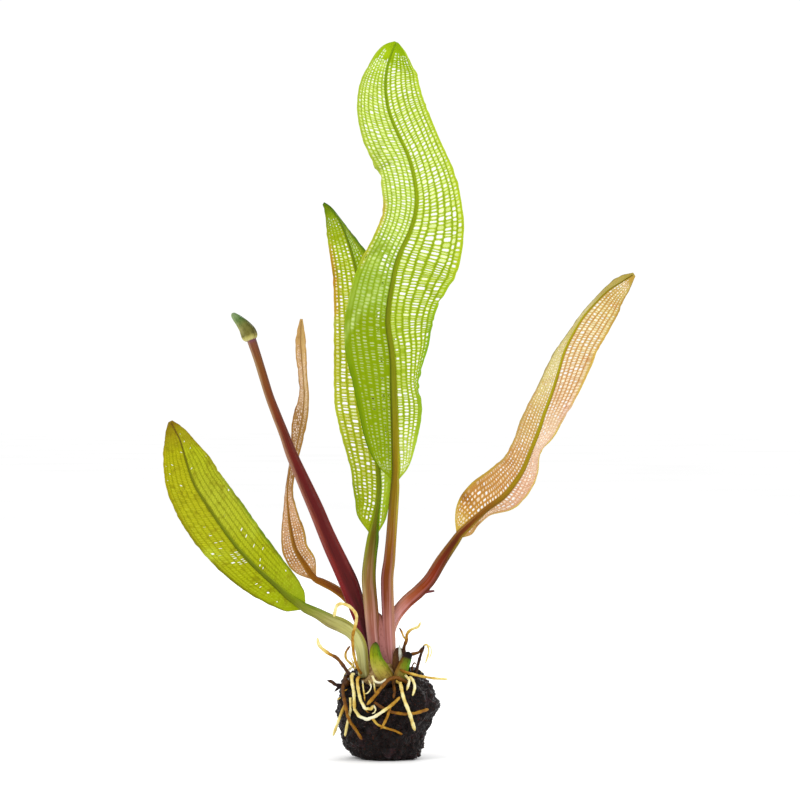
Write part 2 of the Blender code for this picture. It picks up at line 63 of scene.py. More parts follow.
# Stalks: x, y, z, half width, half depth. Blades: x, y, z along the midrib, then half widths left and right of it.
# Edges: share of the blade's length, then how far the left and right margins stand toward the front, mm.
LEAVES = {
    "leaf_tall": {
        "stalk": [
            (1.4, -2.1, 28.6, 2.0, 1.5), (1.4, -2.1, 32.6, 2.0, 1.5), (1.0, -2.1, 37.6, 2.2, 1.5), (0.7, -2.0, 42.6, 2.4, 1.5),
            (0.3, -1.7, 52.7, 2.4, 1.5), (0.0, -1.4, 64.2, 2.4, 1.5), (0.8, -1.2, 71.3, 2.2, 1.4),
            (1.4, -1.0, 78.5, 2.0, 1.3), (2.2, -1.0, 89.3, 1.9, 1.2), (2.8, -1.0, 97.5, 1.7, 1.1),
        ],
        "blade": [
            (2.9, -1.0, 100.1, 1.2, 1.2), (3.1, -1.4, 105.5, 6.7, 5.0), (2.9, -2.0, 114.1, 10.5, 7.8),
            (2.6, -2.8, 124.6, 12.7, 10.0), (2.3, -3.5, 134.3, 14.4, 9.4), (2.1, -4.1, 141.8, 16.0, 11.2),
            (1.5, -4.7, 147.9, 16.5, 13.9), (0.6, -5.3, 153.3, 16.0, 15.8), (0.3, -5.8, 158.3, 15.3, 16.5),
            (0.9, -6.4, 164.7, 14.4, 17.5), (2.0, -7.0, 170.8, 13.8, 19.3), (3.2, -7.6, 176.8, 12.4, 21.2),
            (4.9, -8.1, 181.8, 11.2, 21.4), (6.9, -8.2, 186.1, 11.3, 21.0), (8.8, -8.4, 190.6, 11.4, 19.5),
            (10.1, -8.6, 195.4, 11.7, 17.8), (10.6, -8.8, 200.0, 12.0, 16.1), (10.3, -9.0, 204.8, 12.2, 15.1),
            (9.3, -9.2, 210.3, 12.0, 14.0), (7.5, -9.4, 216.4, 11.9, 12.8), (5.0, -9.0, 221.8, 12.5, 13.0),
            (2.7, -8.2, 226.8, 12.3, 13.2), (0.7, -7.4, 232.3, 11.5, 13.2), (-0.3, -6.7, 237.7, 10.4, 12.7),
            (-0.5, -6.0, 243.1, 8.8, 12.0), (0.2, -5.2, 248.6, 6.4, 10.7), (1.6, -4.6, 253.0, 4.8, 7.2),
            (2.6, -4.3, 255.4, 3.3, 4.5), (3.4, -4.0, 257.3, 0.7, 0.8),
        ],
        "edges": [(0.0, 0, 0), (0.15, 2, -2), (0.35, -3, 1), (0.5, 1, -4), (0.62, 2.2, -1), (0.8, -1, -2), (1.0, 0, 0)],
        "ruffle": (1.3, 1.5, 5.0),
    },
    "leaf_centre": {
        "stalk": [
            (-3.4, -2.2, 28.6, 2.2, 1.5), (-3.6, -2.2, 32.6, 2.2, 1.5), (-4.2, -2.3, 39.1, 2.5, 1.5), (-5.0, -2.2, 45.5, 2.6, 1.5),
            (-5.7, -2.0, 53.4, 2.7, 1.5), (-6.6, -1.4, 64.2, 2.7, 1.5), (-6.2, -0.4, 71.3, 2.5, 1.4),
            (-5.2, 0.8, 78.6, 2.3, 1.3),
        ],
        "blade": [
            (-4.9, 1.2, 81.0, 1.8, 1.6), (-4.1, 2.1, 86.0, 6.7, 3.5), (-3.3, 3.0, 91.0, 8.2, 3.9),
            (-2.8, 4.1, 97.1, 9.6, 4.3), (-3.1, 5.0, 103.2, 9.8, 5.2), (-3.5, 6.0, 110.1, 11.2, 6.4),
            (-4.0, 7.0, 118.0, 12.9, 7.6), (-4.7, 8.0, 127.1, 14.2, 8.7), (-5.7, 8.9, 136.1, 13.7, 9.3),
            (-6.8, 9.9, 147.0, 12.6, 9.9), (-8.0, 10.7, 157.2, 11.5, 10.0), (-9.7, 11.5, 167.0, 9.8, 9.6),
            (-11.3, 12.0, 176.1, 8.7, 7.7), (-13.7, 12.0, 184.9, 7.7, 3.8), (-17.1, 12.0, 193.6, 5.6, 0.9),
            (-20.8, 12.0, 198.7, 2.6, 0.6), (-23.2, 12.0, 200.4, 0.6, 0.5),
        ],
        "edges": [(0.0, 0, 0), (0.2, -1, 2), (0.5, -2, 1), (0.75, -1, 0), (0.88, -1, -4), (0.96, -1, -3), (1.0, 0, 0)],
        "ruffle": (1.4, 0.8, 4.0),
    },
    "leaf_right": {
        "stalk": [
            (1.4, 1.5, 28.9, 1.9, 1.3), (1.4, 1.5, 32.9, 1.9, 1.3), (0.6, 1.5, 39.5, 2.1, 1.3), (0.7, 1.6, 45.3, 2.3, 1.4),
            (2.9, 1.8, 51.0, 2.4, 1.5), (6.9, 2.0, 56.0, 2.5, 1.6), (11.5, 2.5, 60.0, 2.5, 1.7),
            (15.5, 3.0, 64.3, 2.4, 1.7), (19.7, 3.5, 71.1, 2.2, 1.6), (24.7, 3.9, 78.2, 1.8, 1.3),
        ],
        "blade": [
            (26.0, 4.0, 80.1, 1.4, 1.4), (28.5, 4.5, 82.6, 5.7, 3.2), (31.4, 5.0, 85.3, 8.8, 2.4),
            (36.3, 5.8, 89.6, 10.8, 2.9), (41.9, 6.7, 93.7, 11.0, 5.8), (46.0, 7.5, 98.5, 10.0, 6.5),
            (49.5, 8.5, 104.0, 8.4, 5.7), (52.4, 9.5, 111.0, 7.3, 3.6), (55.2, 10.6, 117.9, 7.5, 6.0),
            (57.3, 11.5, 124.2, 6.9, 7.2), (60.1, 12.7, 131.8, 5.7, 8.8), (62.3, 13.7, 138.7, 4.7, 10.1),
            (64.4, 14.7, 145.8, 3.2, 11.0), (67.3, 15.7, 152.0, 1.8, 10.7), (71.5, 16.8, 159.0, 1.2, 10.8),
            (76.4, 17.5, 164.6, 1.3, 9.4), (80.6, 18.0, 168.7, 1.6, 7.5), (85.6, 18.5, 172.0, 2.3, 4.6),
            (90.3, 19.0, 174.9, 0.7, 0.9),
        ],
        "edges": [(0.0, 0, 0), (0.12, 1, -5), (0.3, 0, -3), (0.45, -2, 1), (0.65, -4, 1), (0.8, -5, 0), (1.0, 0, 0)],
        "ruffle": (1.0, 1.1, 4.5),
    },
    "leaf_left": {
        "stalk": [
            (-8.0, -3.9, 28.8, 2.6, 1.9), (-8.6, -3.7, 32.6, 2.2, 1.6), (-8.9, -3.7, 36.9, 2.2, 1.5), (-9.5, -3.7, 40.2, 2.4, 1.5),
            (-10.8, -3.7, 43.2, 2.5, 1.6), (-13.0, -3.7, 45.8, 2.6, 1.6), (-16.3, -3.7, 47.9, 2.8, 1.7),
            (-20.4, -4.0, 49.6, 2.6, 1.7), (-24.7, -4.4, 52.1, 2.1, 1.5), (-28.8, -4.9, 54.0, 1.9, 1.2),
        ],
        "blade": [
            (-30.1, -5.0, 54.8, 1.5, 1.5), (-32.6, -5.5, 56.7, 4.4, 5.0), (-35.5, -6.1, 58.7, 5.7, 6.6),
            (-40.9, -7.3, 63.7, 7.9, 8.1), (-47.5, -8.7, 69.8, 9.3, 9.8), (-53.9, -10.9, 77.0, 10.3, 10.7),
            (-59.8, -13.3, 85.3, 11.1, 10.9), (-64.1, -15.3, 91.9, 10.9, 10.5), (-68.3, -17.5, 99.0, 9.8, 10.0),
            (-70.8, -19.7, 106.6, 8.4, 8.4), (-72.9, -21.9, 114.3, 6.3, 4.4), (-74.8, -23.1, 118.3, 3.9, 2.7),
            (-76.3, -24.0, 121.4, 0.8, 0.7),
        ],
        "edges": [(0.0, 0, 0), (0.25, 2, 1), (0.6, 2.5, 1.5), (0.85, 1, 1), (1.0, 0, 0)],
        "ruffle": (0.5, 0.5, 3.0),
    },
    "leaf_withered": {
        "stalk": [
            (0.4, 4.6, 29.2, 1.4, 1.1), (0.2, 4.8, 33.2, 1.4, 1.1), (-3.3, 5.5, 42.1, 1.6, 1.2), (-9.1, 6.0, 50.7, 1.7, 1.3),
            (-14.9, 6.6, 57.4, 1.7, 1.3), (-19.3, 8.2, 60.6, 1.6, 1.2), (-23.6, 11.2, 62.6, 1.5, 1.0),
        ],
        "blade": [
            (-26.6, 13.0, 64.1, 1.0, 1.0), (-29.9, 14.4, 68.8, 4.7, 4.4), (-33.3, 15.9, 74.2, 5.0, 4.6),
            (-35.1, 17.5, 80.7, 3.7, 5.0), (-36.1, 19.3, 87.9, 2.0, 3.4), (-36.5, 20.9, 95.2, 1.0, 2.1),
            (-35.5, 22.7, 103.9, 0.8, 2.0), (-33.3, 24.3, 111.3, 1.8, 1.7), (-32.1, 25.5, 117.1, 3.3, 1.8),
            (-31.0, 26.4, 123.4, 3.5, 1.9), (-30.5, 27.1, 130.7, 2.0, 1.7), (-30.9, 27.9, 138.1, 1.9, 1.4),
            (-31.6, 28.7, 145.5, 2.1, 1.8), (-32.0, 29.3, 151.7, 1.7, 1.8), (-31.7, 30.0, 158.8, 0.5, 0.5),
        ],
        "edges": [(0.0, 0, 0), (0.15, -3, 4), (0.35, -5, 5), (0.55, -4, 5), (0.75, -4, 4), (0.9, -3, 3), (1.0, 0, 0)],
        "ruffle": (0.6, 0.6, 4.0),
    },
}

# How each blade is perforated: where its lengthwise veins run, as shares of the half width, and where they run low on
# one side (0 left, 1 right), if they spread there; rows of cells along it;
# how steeply the rungs rise outwards, at shares along the blade, left and right; the midrib's half width, mm; creases,
# where painted shade darkens a crease and painted sheen lightens a fold, by side, share along the blade at the midrib
# and at the margin, width and how much painted shade or, below nought, how much painted sheen; zones of side (-1 left,
# 1 right, 0 both), share along the blade from and to, columns from and to, share of cells that are open, how pale the
# skin in the others is, and how much of its room a hole takes.
LACE = {
    "leaf_tall": {
        "veins": (0.0, 0.13, 0.29, 0.46, 0.62, 0.77, 0.89, 1.0), "rows": 146,
        "slant": [(0.0, 0.1, 0.0), (0.3, 0.2, -0.05), (0.45, 0.0, 0.1), (0.55, -0.05, 0.25), (0.65, 0.2, 0.28),
                  (0.75, 0.6, 0.2), (0.85, 0.45, 0.25), (0.93, 0.1, 0.5), (1.0, 0.0, 0.5)],
        "low_veins": (1, (0.0, 0.29, 0.52, 0.73, 0.92, 0.96, 0.98, 1.0)),
        "rib": [(0.0, 1.5), (0.12, 1.42), (0.2, 1.28), (0.27, 1.12), (0.33, 0.95), (0.42, 0.82), (0.55, 0.66), (0.66, 0.58),
                (0.8, 0.46), (0.9, 0.4), (1.0, 0.3)],
        "notches": [(1, 0.412, 1.0), (1, 0.25, 0.7), (1, 0.222, 0.9), (1, 0.197, 1.0), (0, 0.678, 1.0), (0, 0.7, -1.2),
                    (0, 0.71, -0.6)],
        "creases": [(-1, 0.745, 0.722, 0.01, 0.4), (-1, 0.77, 0.75, 0.03, 0.35), (-1, 0.46, 0.33, 0.012, -0.5),
                    (-1, 0.42, 0.40, 0.04, -0.4), (1, 0.47, 0.425, 0.01, 0.4), (-1, 0.56, 0.47, 0.01, 0.4)],
        "zones": [
            (0, 0.0, 1.0, 0, 7, 0.5, 0.9, 0.92),
            (-1, 0.5, 1.0, 0, 7, 0.45, 0.9, 0.88),
            (1, 0.6, 1.0, 0, 7, 0.62, 0.9, 0.9),
            (1, 0.36, 0.6, 0, 7, 0.5, 0.9, 0.96),
            (1, 0.18, 0.4, 0, 2, 0.14, 0.45, 0.8),
            (1, 0.0, 0.2, 0, 4, 0.72, 0.95, 1.0),
            (-1, 0.0, 0.46, 0, 7, 0.08, 0.4, 0.66),
            (-1, 0.2, 0.4, 0, 2, 0.24, 0.6, 0.74),
            (-1, 0.0, 0.2, 0, 2, 0.4, 0.5, 0.75),
            (-1, 0.38, 0.52, 2, 7, 0.03, 0.35, 0.6),
            (-1, 0.38, 0.46, 0, 2, 0.25, 0.5, 0.8),
            (-1, 0.46, 0.5, 0, 3, 0.5, 0.8, 0.92),
            (0, 0.0, 1.0, 6, 7, 0.35, 0.6, 0.75),
            (-1, 0.0, 0.46, 6, 7, 0.0, 0.0, 0.0),
            (-1, 0.95, 0.975, 5, 7, 0.0, 0.0, 0.0),
            (0, 0.955, 1.0, 0, 3, 0.0, 0.0, 0.0),
            (1, 0.95, 0.985, 1, 3, 0.6, 0.6, 0.9),
            (0, 0.975, 1.0, 0, 7, 0.0, 0.0, 0.0),
        ],
    },
    "leaf_centre": {
        "veins": (0.0, 0.21, 0.43, 0.65, 0.85, 1.0), "rows": 98,
        "slant": [(0.0, 0.2, 0.2), (0.5, 0.15, 0.1), (1.0, 0.3, 0.3)],
        "low_veins": (1, (0.0, 0.42, 0.8, 0.92, 0.97, 1.0)),
        "rib": [(0.0, 2.0), (0.035, 1.3), (0.1, 0.95), (0.5, 0.65), (1.0, 0.3)],
        "creases": [(1, 0.7, 0.93, 0.02, 0.6), (-1, 0.8, 0.78, 0.02, 0.4), (-1, 0.62, 0.64, 0.03, -0.3)],
        "zones": [
            (0, 0.0, 1.0, 0, 5, 0.5, 0.85, 0.86),
            (0, 0.0, 1.0, 4, 5, 0.45, 0.8, 0.75),
            (1, 0.7, 0.9, 0, 3, 0.3, 0.5, 0.7),
            (1, 0.7, 1.0, 3, 5, 0.0, 0.05, 0.4),
            (-1, 0.86, 0.96, 0, 5, 0.22, 0.4, 0.6),
            (0, 0.95, 1.0, 0, 5, 0.0, 0.05, 0.4),
            (0, 0.0, 0.035, 0, 5, 0.0, 0.05, 0.3),
            (0, 0.035, 0.1, 3, 5, 0.15, 0.2, 0.6),
            (1, 0.02, 0.2, 0, 1, 0.7, 0.9, 0.9),
            (1, 0.0, 0.2, 1, 5, 0.1, 0.2, 0.6),
        ],
    },
    "leaf_right": {
        "veins": (0.0, 0.15, 0.32, 0.49, 0.66, 0.82, 1.0), "rows": 104,
        "slant": [(0.0, 0.5, 0.2), (0.5, 0.4, 0.4), (1.0, 0.4, 0.4)],
        "low_veins": (1, (0.0, 0.34, 0.64, 0.9, 0.94, 0.97, 1.0)),
        "rib": [(0.0, 1.6), (0.1, 1.1), (0.25, 0.85), (0.45, 0.6), (0.7, 0.42), (1.0, 0.25)],
        "creases": [(-1, 0.1, 0.09, 0.02, 0.8), (-1, 0.13, 0.15, 0.03, 0.35), (-1, 0.3, 0.27, 0.02, 0.4),
                    (1, 0.07, 0.06, 0.02, 0.5), (1, 0.55, 0.5, 0.05, -0.3)],
        "zones": [
            (0, 0.0, 1.0, 0, 6, 0.34, 0.85, 0.78),
            (0, 0.0, 1.0, 0, 1, 0.6, 0.85, 0.84),
            (0, 0.0, 1.0, 5, 6, 0.12, 0.5, 0.65),
            (0, 0.98, 1.0, 0, 6, 0.0, 0.2, 0.4),
            (0, 0.0, 0.015, 0, 6, 0.0, 0.0, 0.0),
        ],
    },
    "leaf_left": {
        "veins": (0.0, 0.18, 0.37, 0.56, 0.74, 0.89, 1.0), "rows": 100,
        "slant": [(0.0, 0.5, 0.5), (1.0, 0.6, 0.6)],
        "rib": [(0.0, 1.7), (0.1, 1.2), (0.3, 0.8), (0.5, 0.6), (0.8, 0.4), (1.0, 0.25)],
        "creases": [(-1, 0.62, 0.7, 0.03, 0.35), (1, 0.3, 0.42, 0.04, -0.3), (-1, 0.36, 0.42, 0.05, -0.4),
                    (1, 0.8, 0.78, 0.02, 0.3), (-1, 0.16, 0.22, 0.03, 0.3)],
        "zones": [
            (0, 0.0, 1.0, 0, 6, 0.03, 0.3, 0.85),
            (-1, 0.1, 0.8, 2, 5, 0.08, 0.4, 0.85),
            (-1, 0.29, 0.37, 0, 2, 0.75, 0.5, 1.1),
            (0, 0.93, 1.0, 0, 6, 0.0, 0.1, 0.8),
            (0, 0.0, 0.04, 0, 6, 0.0, 0.0, 0.0),
        ],
    },
    "leaf_withered": {
        "veins": (0.0, 0.27, 0.52, 0.76, 1.0), "rows": 100,
        "slant": [(0.0, 0.3, 0.3), (1.0, 0.2, 0.2)],
        "rib": [(0.0, 1.2), (0.1, 0.85), (0.22, 0.6), (0.32, 0.4), (1.0, 0.3)],
        "creases": [(-1, 0.36, 0.4, 0.03, 0.6), (1, 0.3, 0.33, 0.03, 0.5), (-1, 0.63, 0.66, 0.02, 0.6)],
        "zones": [
            (0, 0.0, 1.0, 0, 4, 0.16, 1.0, 0.8),
            (0, 0.02, 0.3, 0, 4, 0.34, 1.0, 0.88),
            (0, 0.0, 0.02, 0, 4, 0.0, 0.0, 0.0),
            (0, 0.97, 1.0, 0, 4, 0.0, 0.0, 0.0),
        ],
    },
}
VEIN, RUNG, RIM = 0.58, 0.38, 0.55     # widths of the lengthwise veins, the rungs across and the margin, mm

# Colours along each blade, from its base to its tip: the sheet left and right of the midrib, its two margins, then
# the veins and how strong those across and along are, the pale skin in closed cells, the spots, the painted shade in
# creases and the painted sheen on folds, and how far out the margin's colour begins.
BLADE_COLOURS = {
    "leaf_tall": {
        "left": [(0.0, (146, 168, 4)), (0.35, (150, 174, 6)), (0.4, (162, 192, 66)), (0.5, (172, 198, 80)),
                 (0.55, (200, 220, 106)),
                 (0.9, (202, 220, 100)), (0.95, (172, 198, 38)), (1.0, (146, 176, 14))],
        "right": [(0.0, (182, 198, 70)), (0.3, (184, 202, 64)), (0.5, (186, 204, 62)), (0.7, (202, 220, 98)),
                  (0.9, (200, 218, 92)), (0.95, (172, 198, 36)), (1.0, (140, 172, 14))],
        "left_edge": [(0.0, (96, 124, 0)), (0.25, (110, 140, 4)), (0.45, (168, 196, 50)), (0.53, (206, 196, 80)), (0.6, (212, 186, 86)),
                      (0.66, (200, 212, 98)), (1.0, (176, 196, 60))],
        "right_edge": [(0.0, (182, 206, 70)), (0.3, (140, 182, 44)), (0.5, (192, 208, 54)), (1.0, (194, 214, 70))],
        "vein": (136, 162, 8), "rungs": 0.3, "lengthwise": 0.9, "skin": (244, 248, 216), "spots": (124, 144, 8), "spotted": 0.24,
        "crease_shade": (110, 126, 0), "painted_fold_light": (186, 208, 104), "edge_from": 0.8,
    },
    "leaf_centre": {
        "left": [(0.0, (156, 172, 30)), (0.3, (196, 200, 60)), (0.7, (200, 206, 66)), (0.84, (190, 206, 56)),
                 (0.95, (140, 164, 24)), (1.0, (84, 118, 24))],
        "right": [(0.0, (164, 188, 44)), (0.2, (180, 202, 60)), (0.7, (176, 198, 50)), (0.88, (144, 172, 26)),
                  (1.0, (80, 116, 24))],
        "left_edge": [(0.0, (130, 150, 24)), (0.35, (196, 202, 66)), (0.64, (200, 194, 62)), (0.75, (208, 142, 54)),
                      (0.82, (200, 152, 54)), (0.88, (184, 190, 54)), (1.0, (92, 124, 26))],
        "right_edge": [(0.0, (150, 176, 40)), (0.66, (150, 176, 40)), (0.72, (88, 124, 34)), (1.0, (66, 106, 30))],
        "vein": (150, 168, 12), "rungs": 0.3, "lengthwise": 0.9, "skin": (246, 248, 214), "spots": (180, 128, 44), "spotted": 0.2,
        "crease_shade": (104, 118, 10), "painted_fold_light": (196, 208, 110), "edge_from": 0.6,
    },
    "leaf_right": {
        "left": [(0.0, (206, 178, 84)), (0.12, (198, 154, 78)), (0.3, (204, 168, 116)), (0.45, (208, 186, 122)),
                 (0.6, (214, 202, 134)), (0.8, (206, 196, 130)), (1.0, (176, 160, 80))],
        "right": [(0.0, (196, 158, 92)), (0.2, (214, 172, 138)), (0.4, (224, 194, 166)), (0.65, (224, 208, 162)),
                  (0.85, (218, 206, 140)), (1.0, (190, 164, 78))],
        "left_edge": [(0.0, (206, 190, 80)), (0.2, (190, 166, 66)), (0.5, (196, 176, 120)), (0.75, (150, 140, 90)),
                      (1.0, (150, 130, 56))],
        "right_edge": [(0.0, (206, 180, 84)), (0.3, (214, 196, 96)), (0.7, (214, 190, 92)), (1.0, (160, 130, 56))],
        "vein": (190, 134, 66), "rungs": 0.35, "lengthwise": 0.9, "skin": (250, 242, 228), "spots": (198, 124, 80), "spotted": 0.3,
        "crease_shade": (140, 84, 30), "painted_fold_light": (226, 196, 186), "edge_from": 0.86,
    },
    "leaf_left": {
        "left": [(0.0, (158, 172, 32)), (0.2, (174, 182, 32)), (0.6, (186, 186, 42)), (0.85, (182, 180, 34)),
                 (1.0, (134, 106, 36))],
        "right": [(0.0, (158, 174, 40)), (0.3, (180, 188, 36)), (0.6, (190, 196, 60)), (0.85, (184, 190, 40)),
                  (1.0, (140, 112, 36))],
        "left_edge": [(0.0, (130, 134, 20)), (0.3, (124, 126, 22)), (0.6, (156, 150, 34)), (0.85, (186, 176, 36)),
                      (1.0, (130, 100, 38))],
        "right_edge": [(0.0, (140, 150, 40)), (0.4, (110, 140, 44)), (0.7, (172, 180, 60)), (0.9, (170, 156, 40)),
                       (1.0, (120, 90, 38))],
        "vein": (118, 124, 6), "rungs": 0.15, "lengthwise": 0.62, "skin": (194, 202, 70), "spots": (126, 108, 14), "spotted": 0.45,
        "crease_shade": (112, 100, 14), "painted_fold_light": (196, 208, 64), "edge_from": 0.84,
    },
    "leaf_withered": {
        "left": [(0.0, (206, 162, 108)), (0.28, (196, 150, 104)), (0.42, (148, 108, 58)), (0.6, (160, 120, 66)),
                 (0.75, (202, 168, 120)), (1.0, (200, 164, 104))],
        "right": [(0.0, (206, 164, 110)), (0.28, (202, 156, 108)), (0.42, (152, 110, 60)), (0.6, (174, 136, 74)),
                  (0.75, (214, 186, 132)), (1.0, (204, 172, 112))],
        "left_edge": [(0.0, (196, 166, 70)), (0.3, (176, 130, 60)), (0.7, (170, 120, 60)), (1.0, (196, 150, 66))],
        "right_edge": [(0.0, (200, 172, 76)), (0.4, (176, 134, 66)), (1.0, (206, 164, 84))],
        "vein": (172, 116, 68), "rungs": 0.35, "lengthwise": 0.9, "skin": (246, 228, 210), "spots": (136, 84, 40), "spotted": 0.45,
        "crease_shade": (116, 70, 30), "painted_fold_light": (226, 196, 170), "edge_from": 0.8,
    },
}

# Colours along each stalk and the midrib that it becomes, from the root stock to the leaf's tip: its left edge, its
# middle and its right edge as seen from the front. The edges hold painted highlight and painted shade as well as the
# stalk's own colours.
STEM_COLOURS = {
    "leaf_tall": [
        (0.0, (150, 104, 84), (150, 98, 80), (150, 104, 76)), (0.05, (166, 104, 98), (174, 112, 106), (186, 134, 116)),
        (0.09, (132, 68, 56), (166, 108, 94), (176, 122, 100)), (0.12, (96, 32, 16), (130, 72, 48), (176, 132, 96)),
        (0.16, (104, 42, 14), (120, 64, 30), (166, 126, 70)), (0.21, (136, 90, 40), (134, 84, 30), (158, 120, 40)),
        (0.27, (112, 92, 14), (132, 104, 16), (186, 170, 60)), (0.33, (96, 90, 0), (136, 110, 4), (170, 160, 40)),
        (0.37, (92, 94, 0), (138, 124, 2), (148, 138, 8)), (0.45, (92, 104, 0), (130, 132, 0), (140, 142, 2)),
        (0.58, (100, 112, 0), (120, 130, 0), (130, 142, 2)), (0.75, (130, 154, 0), (148, 168, 2), (156, 178, 10)),
        (1.0, (126, 160, 14), (120, 154, 10), (130, 164, 20)),
    ],
    "leaf_centre": [
        (0.0, (170, 124, 90), (150, 100, 76), (130, 84, 56)), (0.06, (196, 144, 134), (164, 104, 96), (136, 82, 68)),
        (0.11, (188, 138, 118), (154, 96, 80), (138, 88, 66)), (0.17, (172, 144, 92), (142, 96, 64), (124, 92, 50)),
        (0.22, (138, 132, 44), (130, 96, 54), (112, 108, 28)), (0.29, (136, 148, 14), (100, 86, 22), (96, 138, 4)),
        (0.36, (116, 132, 10), (112, 122, 8), (108, 148, 14)), (0.5, (130, 140, 8), (126, 138, 8), (126, 142, 12)),
        (0.8, (140, 150, 16), (136, 148, 16), (126, 148, 16)), (1.0, (100, 128, 14), (92, 122, 14), (86, 116, 14)),
    ],
    "leaf_right": [
        (0.0, (176, 124, 112), (188, 136, 130), (176, 122, 110)), (0.1, (190, 138, 126), (222, 176, 172), (214, 164, 150)),
        (0.135, (178, 128, 98), (212, 152, 142), (190, 116, 96)), (0.17, (150, 96, 52), (170, 96, 70), (138, 60, 28)),
        (0.205, (128, 72, 24), (140, 64, 14), (110, 50, 8)), (0.24, (128, 68, 20), (132, 54, 2), (104, 52, 4)),
        (0.275, (138, 90, 44), (112, 48, 2), (112, 68, 10)), (0.31, (128, 86, 42), (92, 46, 2), (142, 118, 34)),
        (0.36, (150, 108, 56), (112, 58, 8), (150, 120, 40)), (0.42, (148, 102, 44), (136, 92, 10), (130, 96, 4)),
        (0.5, (166, 140, 18), (158, 130, 4), (146, 116, 0)), (0.65, (180, 166, 22), (170, 156, 6), (156, 140, 0)),
        (0.85, (188, 180, 38), (176, 164, 12), (164, 148, 8)), (1.0, (130, 110, 40), (120, 100, 30), (118, 92, 34)),
    ],
    "leaf_left": [
        (0.0, (140, 116, 64), (150, 140, 80), (140, 120, 60)), (0.05, (178, 172, 100), (206, 204, 136), (176, 166, 84)),
        (0.1, (190, 188, 110), (214, 212, 140), (172, 166, 82)), (0.16, (176, 170, 100), (190, 186, 112), (164, 160, 80)),
        (0.22, (150, 136, 80), (170, 164, 98), (148, 150, 76)), (0.28, (136, 138, 62), (140, 144, 62), (120, 142, 44)),
        (0.34, (112, 122, 22), (116, 128, 24), (126, 144, 30)), (0.42, (96, 106, 8), (104, 116, 10), (150, 164, 36)),
        (0.6, (112, 122, 10), (112, 124, 10), (150, 160, 36)), (0.85, (124, 128, 24), (118, 122, 20), (136, 138, 34)),
        (1.0, (120, 90, 40), (110, 80, 36), (120, 90, 40)),
    ],
    "leaf_withered": [
        (0.0, (100, 40, 30), (110, 50, 30), (90, 40, 24)), (0.1, (130, 66, 34), (130, 62, 30), (130, 76, 30)),
        (0.18, (160, 118, 40), (134, 70, 26), (136, 90, 34)), (0.25, (160, 110, 30), (116, 62, 14), (140, 90, 26)),
        (0.32, (156, 104, 26), (150, 92, 20), (140, 84, 20)), (0.42, (170, 120, 50), (160, 108, 40), (166, 116, 56)),
        (1.0, (184, 146, 90), (180, 140, 86), (184, 146, 90)),
    ],
    "flower_stalk": [
        (0.0, (70, 6, 24), (58, 4, 18), (64, 6, 18)), (0.12, (132, 14, 38), (72, 2, 18), (70, 8, 18)),
        (0.22, (128, 22, 36), (84, 6, 20), (98, 24, 24)), (0.35, (130, 44, 38), (90, 14, 18), (112, 36, 24)),
        (0.5, (146, 78, 60), (94, 20, 16), (106, 36, 20)), (0.62, (160, 108, 84), (102, 34, 16), (100, 38, 18)),
        (0.75, (164, 122, 86), (114, 50, 20), (102, 46, 20)), (0.92, (162, 128, 88), (130, 80, 40), (112, 64, 28)),
        (0.98, (154, 116, 90), (126, 76, 54), (108, 62, 44)), (0.99, (150, 108, 112), (124, 76, 86), (108, 62, 76)),
        (1.0, (120, 76, 88), (110, 66, 80), (100, 60, 70)),
    ],
    "flower_bud": [
        (0.0, (128, 80, 104), (112, 66, 92), (92, 56, 78)), (0.05, (214, 206, 140), (206, 196, 128), (170, 160, 96)),
        (0.12, (196, 190, 110), (180, 172, 96), (140, 130, 70)), (0.2, (128, 124, 70), (112, 106, 54), (88, 82, 44)),
        (0.5, (160, 156, 100), (118, 118, 64), (86, 90, 44)), (0.72, (140, 156, 104), (98, 124, 70), (72, 100, 54)),
        (0.88, (146, 168, 118), (130, 152, 104), (106, 130, 86)), (1.0, (152, 172, 126), (138, 160, 114), (114, 136, 94)),
    ],
    "green_shoot": [
        (0.0, (116, 80, 42), (106, 68, 36), (78, 48, 24)), (0.2, (180, 152, 82), (172, 146, 72), (130, 108, 46)),
        (0.45, (190, 180, 92), (174, 168, 68), (122, 134, 32)), (0.7, (164, 164, 38), (132, 146, 22), (90, 132, 10)),
        (0.88, (122, 122, 34), (104, 124, 20), (76, 110, 14)), (1.0, (62, 50, 48), (60, 58, 40), (50, 58, 30)),
    ],
    "cut_shoot": [
        (0.0, (130, 96, 60), (120, 84, 46), (84, 60, 36)), (0.3, (156, 120, 60), (150, 136, 64), (120, 130, 34)),
        (0.55, (136, 100, 42), (124, 134, 38), (98, 150, 20)), (0.74, (112, 82, 40), (98, 112, 28), (80, 126, 20)),
        (0.82, (60, 46, 40), (44, 36, 36), (34, 28, 28)), (1.0, (36, 30, 34), (30, 25, 30), (26, 21, 26)),
    ],
    "stump": [
        (0.0, (96, 66, 44), (84, 56, 38), (66, 44, 30)), (0.6, (110, 76, 46), (92, 60, 40), (76, 50, 36)),
        (1.0, (84, 58, 44), (74, 50, 38), (60, 42, 32)),
    ],
    "sheath": [
        (0.0, (150, 140, 112), (166, 158, 130), (140, 128, 100)), (0.5, (206, 206, 190), (214, 216, 204), (180, 178, 156)),
        (1.0, (190, 194, 180), (206, 208, 196), (170, 170, 150)),
    ],
    "spur": [(0.0, (160, 96, 96), (150, 84, 84), (130, 70, 66)), (1.0, (110, 56, 60), (100, 50, 52), (90, 44, 44))],
    "crown": [
        (0.0, (150, 110, 70), (160, 112, 84), (140, 96, 60)), (0.25, (196, 142, 136), (178, 118, 114), (170, 112, 98)),
        (1.0, (170, 120, 108), (156, 100, 90), (116, 74, 56)),
    ],
}
